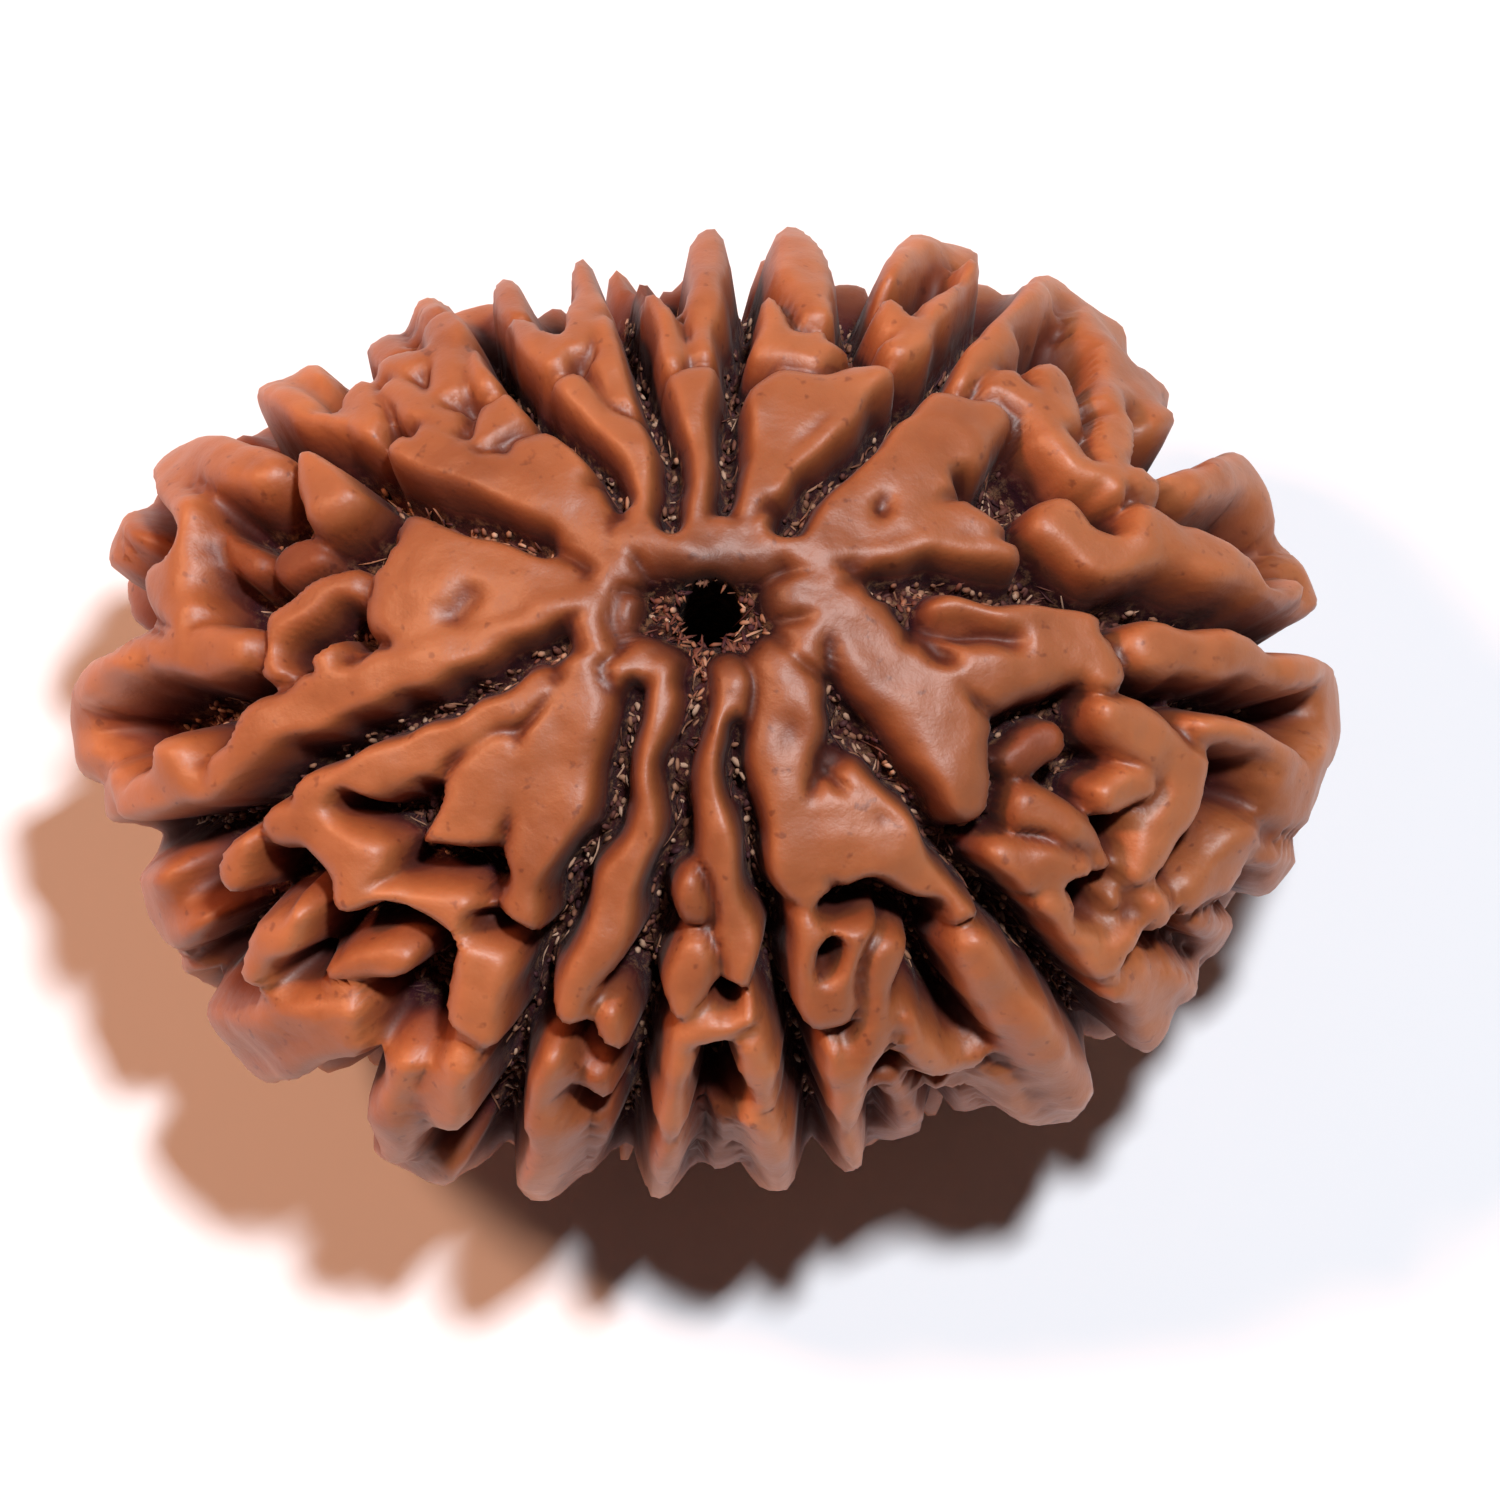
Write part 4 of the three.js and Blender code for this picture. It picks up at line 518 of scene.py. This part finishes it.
def off_sight(points):
    unit = points / HALF
    return np.degrees(np.arccos(np.clip(unit @ SIGHT, -1.0, 1.0)))


def look_up(points):
    angle = off_sight(points)
    drawn = np.radians(RIM_START + (angle - RIM_START) * RIM_STRETCH)
    unit = points / HALF
    aside = unit - (unit @ SIGHT)[:, None] * SIGHT
    aside /= np.maximum(np.linalg.norm(aside, axis=1), 1e-9)[:, None]
    moved = aside * np.sin(drawn)[:, None] + SIGHT * np.cos(drawn)[:, None]
    return np.where((angle < RIM_START)[:, None], points, moved * HALF)


def turned_over(points):
    turns = np.array(GROOVE_TURNS, float)
    angle = angle_round(points)
    angle = np.where(angle < turns[0, 0], angle + 360, angle)
    turned = np.radians(np.interp(angle, turns[:, 0], turns[:, 1]))
    spread = spread_at(points)
    around = [HALF_LENGTH * spread * np.cos(turned), HALF_WIDTH * spread * np.sin(turned)]
    return np.column_stack(around + [-points[:, 2]])


def outward(points):
    normal = points / HALF ** 2
    return normal / np.linalg.norm(normal, axis=1)[:, None]


def wavered(points):
    x, y, z = points.T
    return np.column_stack([
        x + WAVER * np.sin(2.3 * y + 1.1 * z + 0.5) + QUIVER * np.sin(4.7 * z - 3.1 * x + 1.9),
        y + WAVER * np.sin(2.1 * z - 1.7 * x + 2.1) + QUIVER * np.sin(4.3 * x + 2.9 * y + 0.3),
        z + WAVER * np.sin(2.6 * x + 1.2 * y + 4) + QUIVER * np.sin(5.1 * y - 2.7 * z + 1.1)])


def drawn_relief(points):
    at = wavered(look_up(points))
    hole, groove = deepest(holes, at), deepest(grooves, at)
    return raised(at) * (1 - hole) * (1 - groove) - GROOVE_EXTRA * groove


def notched(points):
    off, angle = off_sight(points), angle_round(points)
    across = smooth(*NOTCH_START, off) * (1 - smooth(*NOTCH_END, off))
    cuts = [smooth(0, 1, 1 - np.abs(angle - middle) / half) for middle, half in NOTCHES]
    return across * np.max(cuts, axis=0)


def sharp_relief(points):
    far = smooth(FAR_START, FAR_FULL, off_sight(points))
    result = np.zeros(len(points))
    near_side, far_side = far < 1, far > 0
    result[near_side] += drawn_relief(points[near_side]) * (1 - far[near_side])
    result[far_side] += drawn_relief(turned_over(points[far_side])) * far[far_side]
    return result * (1 - notched(points))


ASLANT = [0.3, 0.5, 0.8]


def relief(points):
    normal = outward(points)
    aside = np.cross(normal, ASLANT)
    outer = toward_rim(points, SOFTNESS_CHANGE)
    soft = SOFTNESS + (SOFTNESS_AT_RIM - SOFTNESS) * outer
    aside *= (soft / np.linalg.norm(aside, axis=1))[:, None]
    across = np.cross(normal, aside)
    total = np.zeros(len(points))
    for index in range(PLACES):
        turn = index * 2 * math.pi / PLACES
        far = 0.5 if index % 2 else 1.0
        step = math.cos(turn) * aside + math.sin(turn) * across
        total += sharp_relief(points + far * step)
    return total / PLACES


# %% [markdown]
# ## The stone
# A torus has the stone's topology: its outside becomes the shell and its inside the thread
# hole.  One call adds at most 256 rings, so the torus is added with half the rings wanted and
# divided once.  The angle and the turn of each vertex then say where on the egg it belongs.

# %% Place the rings of the torus on the egg
RINGS = 420
STEPS = 236
HOLE_SHARE = 0.04
TORUS_RADIUS = 2
bpy.ops.object.select_all(action="DESELECT")
bpy.ops.mesh.primitive_torus_add(
    major_segments=RINGS // 2, minor_segments=STEPS // 2, major_radius=TORUS_RADIUS,
    minor_radius=1, generate_uvs=False)
stone = bpy.context.object
halved = stone.modifiers.new("halved", "SUBSURF")
halved.subdivision_type = "SIMPLE"
halved.levels = 1
bpy.ops.object.modifier_apply(modifier="halved")
stone.name = "rudraksha_stone"
place = np.empty(len(stone.data.vertices) * 3)
stone.data.vertices.foreach_get("co", place)
place = place.reshape(-1, 3)
angle = np.arctan2(place[:, 1], place[:, 0])
from_tube = np.hypot(place[:, 0], place[:, 1]) - TORUS_RADIUS
tube = np.arctan2(place[:, 2], from_tube) / (2 * math.pi)
turn = (tube + 0.5) % 1
row = np.clip((turn - HOLE_SHARE / 2) / (1 - HOLE_SHARE), 0.0, 1.0)
in_hole = (turn < HOLE_SHARE / 2) | (turn > 1 - HOLE_SHARE / 2)
print(len(place), "vertices,", in_hole.sum(), "of them in the hole")


def egg_points(row, angle):
    mouth = HOLE_RADIUS / HALF_LENGTH
    latitude = (row * 2 - 1) * math.acos(mouth)
    ring = np.cos(latitude)
    oval = smooth(0.0, MOUTH_BLEND, ring - mouth)
    circle = HOLE_RADIUS * ring / mouth
    x = (HOLE_X + circle * np.cos(angle)) * (1 - oval) + HALF_LENGTH * ring * np.cos(angle) * oval
    y = circle * np.sin(angle) * (1 - oval) + HALF_WIDTH * ring * np.sin(angle) * oval
    level = np.clip(1 - (x / HALF_LENGTH) ** 2 - (y / HALF_WIDTH) ** 2, 0.0, None)
    return np.column_stack([x, y, np.sign(latitude) * HALF_HEIGHT * np.sqrt(level)])


def rim_swell(points):
    swell = np.array(RIM_SWELL, float)
    out = np.interp(angle_round(points), swell[:, 0], swell[:, 1])
    return out * toward_rim(points, SWELL_CHANGE)


# %% [markdown]
# ## Every vertex in its place
# Each vertex is lifted off the egg by the relief.  Fine roughness is added where the relief is
# low, because the crevices of a real stone keep torn fibres while the ridge tops are worn
# smooth.  Three values are stored for the colours: how high a vertex stands; how far the
# surface round it bends in, which paints shade into creases and a highlight on convex edges;
# and how far out it lies, which paints shade round the mouth and light towards the rim.

# %% Place every vertex
FIBRE_LIFT = 0.22
WAVE_LIFT = 0.2
LOW_RELIEF = (0.1, 0.75)
STRETCHED = [1.0, 1.0, 0.5]
HOLE_RELIEF = 0.15
BEND_GAIN = 2
NEIGHBOURS = (-4, -2, 2, 4)


def rough(points, size, seed):
    shift = Vector((seed, seed * 2.3, seed * 0.7))
    return np.array([noise.noise(Vector(p) / size + shift) for p in points])


def shell_points(row, angle):
    egg = egg_points(row, angle)
    height = relief(egg)
    low = 1 - smooth(*LOW_RELIEF, height)
    fibres = rough(egg * STRETCHED, size=0.42, seed=3.0)
    fibres += 0.6 * rough(egg, size=0.2, seed=11.0)
    waves = rough(egg, size=1.7, seed=5.0) + 0.25 * rough(egg, size=0.6, seed=8.0)
    lift = rim_swell(egg) - crevice_depth(egg) * (1 - height)
    lift += low * FIBRE_LIFT * fibres + (1 - low) * WAVE_LIFT * waves
    shell = egg + outward(egg) * lift[:, None]
    shell[:, 2] = np.maximum(shell[:, 2], WORN_FLAT - HALF_HEIGHT)
    return shell, height


shell, height = shell_points(row, angle)
lower, _ = shell_points(np.zeros(in_hole.sum()), angle[in_hole])
upper, _ = shell_points(np.ones(in_hole.sum()), angle[in_hole])
level = np.where(turn < 0.5, 0.5 - turn / HOLE_SHARE, 0.5 + (1 - turn) / HOLE_SHARE)[in_hole]
shell[in_hole] = lower + (upper - lower) * level[:, None]
height[in_hole] = HOLE_RELIEF
shift = np.array([
    -(shell[:, 0].min() + shell[:, 0].max()) / 2,
    -(shell[:, 1].min() + shell[:, 1].max()) / 2,
    -shell[:, 2].min()])
shell += shift
stone.data.vertices.foreach_set("co", (shell * MM).ravel())
stone.data.update()
# The bend is stored only for colour: it drives painted shade in creases and a painted highlight on
# convex edges.
column = np.round(angle * RINGS / (2 * math.pi)).astype(int) % RINGS
step = np.round(turn * STEPS).astype(int) % STEPS
grid = np.zeros((RINGS, STEPS))
grid[column, step] = height
rolled = [np.roll(grid, cells, axis) for axis in (0, 1) for cells in NEIGHBOURS]
around = sum(rolled) / len(rolled)
bend = np.clip(0.5 + BEND_GAIN * (around - grid), 0.0, 1.0)[column, step]
for name, values in (("relief", height), ("bend", bend), ("spread", spread_at(shell - shift))):
    stone.data.attributes.new(name, "FLOAT", "POINT").data.foreach_set("value", values)
bpy.ops.object.shade_smooth()
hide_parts("rudraksha_seed")
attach(stone, "root")
print("stone", np.round(np.ptp(shell, axis=0), 2), "mm, egg centre at", np.round(shift, 2))
normals = np.empty(len(shell) * 3)
stone.data.vertex_normals.foreach_get("vector", normals)
normals = normals.reshape(-1, 3)


# %% [markdown]
# ## Torn fibres and crumbs
# When the fruit is washed off, threads and crumbs of it stay stuck in the crevices.  Each
# one is a small ball, stretched and bent.  An array makes the copies, and then the vertices
# of each copy are moved to a low place on the stone, drawn with a fixed seed.

# %% Scatter stretched balls over given places
draw = np.random.default_rng(11)
BIT_FLATNESS = 0.7
BIT_RISE = 0.5


def between(low, high, count):
    return draw.uniform(low, high, count)[:, None, None]


def scatter(name, places, up, heading, length, width, bend, lightest=1.0):
    count = len(places)
    bpy.ops.object.select_all(action="DESELECT")
    bpy.ops.mesh.primitive_ico_sphere_add(subdivisions=1, radius=1)
    piece = bpy.context.object
    piece.name = name
    ball = np.array([tuple(vertex.co) for vertex in piece.data.vertices])
    copies = piece.modifiers.new("copies", "ARRAY")
    copies.count = count
    bpy.ops.object.modifier_apply(modifier="copies")
    across = np.cross(up, heading)
    along, side, top = (ball[None, :, axis, None] for axis in range(3))
    spots = places[:, None, :] + heading[:, None, :] * along * length
    spots = spots + across[:, None, :] * side * width
    spots = spots + up[:, None, :] * top * width * BIT_FLATNESS
    spots = spots + up[:, None, :] * (along ** 2 * bend + width * BIT_RISE)
    piece.data.vertices.foreach_set("co", (spots * MM).ravel())
    piece.data.update()
    tone = np.repeat(draw.uniform(0, lightest, count), len(ball))
    piece.data.attributes.new("tone", "FLOAT", "POINT").data.foreach_set("value", tone)
    bpy.ops.object.shade_smooth()
    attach(piece, "root")
    print(name, count, "bits,", len(piece.data.polygons), "triangles")
    return piece


def tangents(up):
    heading = np.cross(up, draw.normal(size=up.shape))
    return heading / np.linalg.norm(heading, axis=1)[:, None]


# %% Crumbs and threads in the crevices
CRUMBS = 5600
THREADS = 2800
CREVICE_LIMIT = 0.22
OFF_FLOOR = 0.3
low = (height < CREVICE_LIMIT) & ~in_hole & (shell[:, 2] > OFF_FLOOR)
low = np.flatnonzero(low)
share = spread_at(shell[low] - shift)
picked = draw.choice(low, CRUMBS + THREADS, p=share / share.sum())
jitter = tangents(normals[picked]) * draw.uniform(0, 0.1, len(picked))[:, None]
print(len(low), "low vertices")
crumb_places, thread_places = picked[:CRUMBS], picked[CRUMBS:]
bit_places = shell[picked] + jitter
crumbs = scatter(
    "crevice_crumbs", bit_places[:CRUMBS], normals[crumb_places],
    tangents(normals[crumb_places]), length=between(0.07, 0.18, CRUMBS),
    width=between(0.04, 0.09, CRUMBS), bend=between(-0.02, 0.03, CRUMBS))
threads = scatter(
    "crevice_threads", bit_places[CRUMBS:], normals[thread_places],
    tangents(normals[thread_places]), length=between(0.2, 0.45, THREADS),
    width=between(0.02, 0.036, THREADS), bend=between(-0.1, 0.1, THREADS))

# %% [markdown]
# ## Torn edge of the mouth
# The thread hole opens in a ring of torn fibre.  Its bits lie on the crevice floor, point
# mostly inward and are a little darker than the rest.

# %% Torn edge of the mouth
BITS = 240
MOUTH_RING = (0.66, 1.5)
turns = draw.uniform(0, 2 * math.pi, BITS)
from_middle = draw.uniform(*MOUTH_RING, BITS)
outer = np.column_stack([np.cos(turns), np.sin(turns), np.zeros(BITS)])
floor_level = HALF_HEIGHT - CREVICE_AT_MOUTH
torn_places = outer * from_middle[:, None] + [HOLE_X, 0, floor_level] + shift
torn_heading = -outer + draw.normal(scale=0.9, size=outer.shape)
torn_heading /= np.linalg.norm(torn_heading, axis=1)[:, None]
torn = scatter(
    "mouth_threads", torn_places, np.tile([0.0, 0.0, 1.0], (BITS, 1)), torn_heading,
    length=between(0.08, 0.3, BITS), width=between(0.02, 0.06, BITS),
    bend=between(-0.08, 0.04, BITS), lightest=0.7)

# %% [markdown]
# ## The look of the shell
# The ridge tops are polished by handling, so they have a waxy satin shine and a warm brown.
# Down the slopes the brown turns deeper and redder, and the crevices are dull, dark and
# purplish with paler torn fibres; part of this darkening is painted shade, darkest in a band at
# the foot of the ridges.  Painted shade also darkens the creases and the mouth, and painted
# light brightens convex edges and the rim.  The values stored on the vertices steer all of
# this, and small dark specks are drawn by a fine noise.

# %% Shell material
def grey(value):
    return value, value, value


def fill_ramp(node, stops):
    elements = node.color_ramp.elements
    while len(elements) < len(stops):
        elements.new(0.5)
    for element, (position, color) in zip(elements, stops):
        element.position = position
        element.color = (*color, 1.0)


def shell_material():
    material = bpy.data.materials.new("seed_shell")
    material.use_nodes = True
    nodes, links = material.node_tree.nodes, material.node_tree.links
    shader = nodes["Principled BSDF"]
    relief_node = nodes.new("ShaderNodeAttribute")
    relief_node.attribute_name = "relief"
    coordinates = nodes.new("ShaderNodeTexCoord")

    def noise_node(scale, detail, roughness):
        node = nodes.new("ShaderNodeTexNoise")
        node.inputs["Scale"].default_value = scale
        node.inputs["Detail"].default_value = detail
        node.inputs["Roughness"].default_value = roughness
        links.new(coordinates.outputs["Object"], node.inputs["Vector"])
        return node.outputs["Fac"]

    def math_node(kind, first, second):
        node = nodes.new("ShaderNodeMath")
        node.operation = kind
        for socket, value in zip(node.inputs, (first, second)):
            if isinstance(value, (int, float)):
                socket.default_value = value
            else:
                links.new(value, socket)
        return node.outputs["Value"]

    def ramp_node(factor, stops):
        node = nodes.new("ShaderNodeValToRGB")
        fill_ramp(node, stops)
        links.new(factor, node.inputs["Fac"])
        return node.outputs["Color"]

    def mix_node(kind, factor, first, second):
        node = nodes.new("ShaderNodeMix")
        node.data_type = "RGBA"
        node.blend_type = kind
        for name, value in (("Factor", factor), ("A", first), ("B", second)):
            socket = next(s for s in node.inputs if s.name == name and (
                s.type == ("VALUE" if name == "Factor" else "RGBA")))
            if isinstance(value, (int, float)):
                socket.default_value = value
            elif isinstance(value, tuple):
                socket.default_value = (*value, 1.0)
            else:
                links.new(value, socket)
        return next(s for s in node.outputs if s.type == "RGBA")

    broad = noise_node(scale=260, detail=3, roughness=0.5)
    fine = noise_node(scale=1400, detail=5, roughness=0.6)
    threads = noise_node(scale=3600, detail=6, roughness=0.7)
    wobble = math_node("MULTIPLY", math_node("SUBTRACT", fine, 0.5), 0.28)
    level = math_node("ADD", relief_node.outputs["Fac"], wobble)
    # Partly painted shade: the purplish brown of the low relief is the stone's own colour, but the
    # darkest band, near 0.2 just above the crevice floor, is painted shade at the foot of the ridge
    # walls, and the deeper red of the slopes is partly painted shade.
    body = ramp_node(level, [
        (0.0, (0.105, 0.030, 0.030)), (0.2, (0.048, 0.011, 0.018)),
        (0.42, (0.100, 0.023, 0.013)), (0.7, (0.190, 0.046, 0.013)),
        (0.9, (0.275, 0.080, 0.023)), (1.0, (0.330, 0.108, 0.037))])
    mottle = ramp_node(broad, [
        (0.3, (0.74, 0.66, 0.60)), (0.5, (0.95, 0.93, 0.92)), (0.72, (1.12, 1.18, 1.26))])
    body = mix_node("MULTIPLY", 1.0, body, mottle)
    # Painted shade and painted highlight: where the relief round a vertex stands above its own, the
    # colour is darkened as shade in creases; where it stands below, on convex edges, the colour is
    # lightened as a highlight.
    bend_node = nodes.new("ShaderNodeAttribute")
    bend_node.attribute_name = "bend"
    crease_shade_edge_light = ramp_node(bend_node.outputs["Fac"], [
        (0.25, (1.15, 1.17, 1.2)), (0.5, grey(1.0)), (0.62, (0.66, 0.53, 0.57)),
        (0.8, (0.5, 0.38, 0.45))])
    body = mix_node("MULTIPLY", 1.0, body, crease_shade_edge_light)
    dots = noise_node(scale=3100, detail=2, roughness=0.5)
    specks = ramp_node(dots, [
        (0.26, (0.66, 0.58, 0.60)), (0.35, grey(1.0))])
    body = mix_node("MULTIPLY", 1.0, body, specks)
    spread_node = nodes.new("ShaderNodeAttribute")
    spread_node.attribute_name = "spread"
    # Painted shade and painted light: the colour is darkened round the mouth, where the spread is
    # small, and lightened towards the rim, where it is large.
    mouth_shade_rim_light = ramp_node(spread_node.outputs["Fac"], [
        (0.08, (0.35, 0.30, 0.30)), (0.16, (0.86, 0.84, 0.82)), (0.5, (0.98, 0.97, 0.95)),
        (0.95, (1.28, 1.3, 1.32))])
    body = mix_node("MULTIPLY", 1.0, body, mouth_shade_rim_light)
    straw = ramp_node(threads, [(0.5, grey(0.0)), (0.72, grey(1.0))])
    depth = ramp_node(relief_node.outputs["Fac"], [
        (0.1, grey(1.0)), (0.4, grey(0.0))])
    straw_share = math_node("MULTIPLY", straw, depth)
    body = mix_node("MIX", math_node("MULTIPLY", straw_share, 0.8), body, (0.34, 0.17, 0.085))
    links.new(body, shader.inputs["Base Color"])
    dull = ramp_node(relief_node.outputs["Fac"], [
        (0.2, grey(0.8)), (0.8, grey(0.5))])
    links.new(dull, shader.inputs["Roughness"])
    gloss = ramp_node(relief_node.outputs["Fac"], [
        (0.3, grey(0.08)), (0.85, grey(0.7))])
    links.new(gloss, shader.inputs["Specular IOR Level"])
    shader.inputs["Subsurface Weight"].default_value = 0.12
    shader.inputs["Subsurface Radius"].default_value = (1.0, 0.35, 0.15)
    shader.inputs["Subsurface Scale"].default_value = 0.6 * MM
    shader.inputs["Sheen Weight"].default_value = 0.06
    shader.inputs["Sheen Roughness"].default_value = 0.4
    shader.inputs["Sheen Tint"].default_value = (1.0, 0.86, 0.82, 1.0)
    bump = nodes.new("ShaderNodeBump")
    bump.inputs["Strength"].default_value = 1.0
    bump.inputs["Distance"].default_value = 0.12 * MM
    torn = math_node("MULTIPLY", math_node("MULTIPLY", threads, depth), 1.6)
    grain = math_node("MULTIPLY", fine, 0.35)
    links.new(math_node("ADD", torn, grain), bump.inputs["Height"])
    links.new(bump.outputs["Normal"], shader.inputs["Normal"])
    return material


def fibre_material():
    material = bpy.data.materials.new("fruit_fibre")
    material.use_nodes = True
    nodes, links = material.node_tree.nodes, material.node_tree.links
    tone = nodes.new("ShaderNodeAttribute")
    tone.attribute_name = "tone"
    node = nodes.new("ShaderNodeValToRGB")
    fill_ramp(node, [
        (0.0, (0.045, 0.012, 0.018)), (0.4, (0.140, 0.046, 0.030)),
        (0.75, (0.300, 0.140, 0.080)), (1.0, (0.480, 0.300, 0.210))])
    links.new(tone.outputs["Fac"], node.inputs["Fac"])
    shader = nodes["Principled BSDF"]
    links.new(node.outputs["Color"], shader.inputs["Base Color"])
    shader.inputs["Roughness"].default_value = 0.7
    shader.inputs["Specular IOR Level"].default_value = 0.3
    return material


shell_look = shell_material()
stone.data.materials.append(shell_look)
fibre_look = fibre_material()
for piece in (crumbs, threads, torn):
    piece.data.materials.append(fibre_look)
print("shell material with", len(shell_look.node_tree.nodes), "nodes")

# %% [markdown]
# ## Floor, light and camera
# The stone lies on a plain pale floor.  The key light stands almost overhead, a little to the
# right and behind, and a warm light comes from the left.

# %% Floor
def plain_material(name, color, roughness):
    material = bpy.data.materials.new(name)
    material.use_nodes = True
    shader = material.node_tree.nodes["Principled BSDF"]
    shader.inputs["Base Color"].default_value = (*color, 1.0)
    shader.inputs["Roughness"].default_value = roughness
    return material


bpy.ops.mesh.primitive_plane_add(size=1.2, location=(0, 0, 0))
floor = bpy.context.object
floor.name = "floor"
floor.data.materials.append(plain_material("floor", (0.83, 0.85, 0.90), 0.6))
print("floor", tuple(floor.dimensions))

# %% Lights
def area_light(name, place, target, size, power, color):
    bpy.ops.object.light_add(type="AREA", location=place)
    light = bpy.context.object
    light.name = name
    light.data.size = size
    light.data.energy = power
    light.data.color = color
    light.rotation_euler = (Vector(target) - Vector(place)).to_track_quat("-Z", "Y").to_euler()
    return light


MIDDLE = (0, 0, 0.008)
area_light(
    "key", place=(0.085, 0.055, 0.49), target=MIDDLE, size=0.05, power=2.5,
    color=(0.96, 0.98, 1.0))
area_light(
    "warm", place=(-0.30, 0.10, 0.40), target=MIDDLE, size=0.07, power=1.75,
    color=(1.0, 0.47, 0.26))
world = bpy.data.worlds.new("studio")
world.use_nodes = True
background = world.node_tree.nodes["Background"]
background.inputs["Color"].default_value = (1.0, 0.66, 0.58, 1.0)
background.inputs["Strength"].default_value = 0.05
bpy.context.scene.world = world

# %% [markdown]
# ## Camera
# The camera looks down from 75 degrees above the horizon through a long lens, as in the
# photograph, with the stone a little above and to the left of the middle.

# %% Camera
LOOK_RIGHT = 0.756
LOOK_DOWN = 0.842
DISTANCE = 0.30
view_right = Vector((1, 0, 0))
view_up = Vector((0, SINE, COSINE))
view_back = Vector((0, -COSINE, SINE))
target = (Vector(shift) + view_right * LOOK_RIGHT - view_up * LOOK_DOWN) * MM
bpy.ops.object.camera_add(location=target + view_back * DISTANCE)
camera = bpy.context.object
camera.rotation_euler = (-view_back).to_track_quat("-Z", "Y").to_euler()
camera.data.sensor_width = 36
camera.data.lens = 333
bpy.context.scene.camera = camera
bpy.context.scene.view_settings.view_transform = "Standard"
print("camera at", np.round(camera.location, 3), "m")
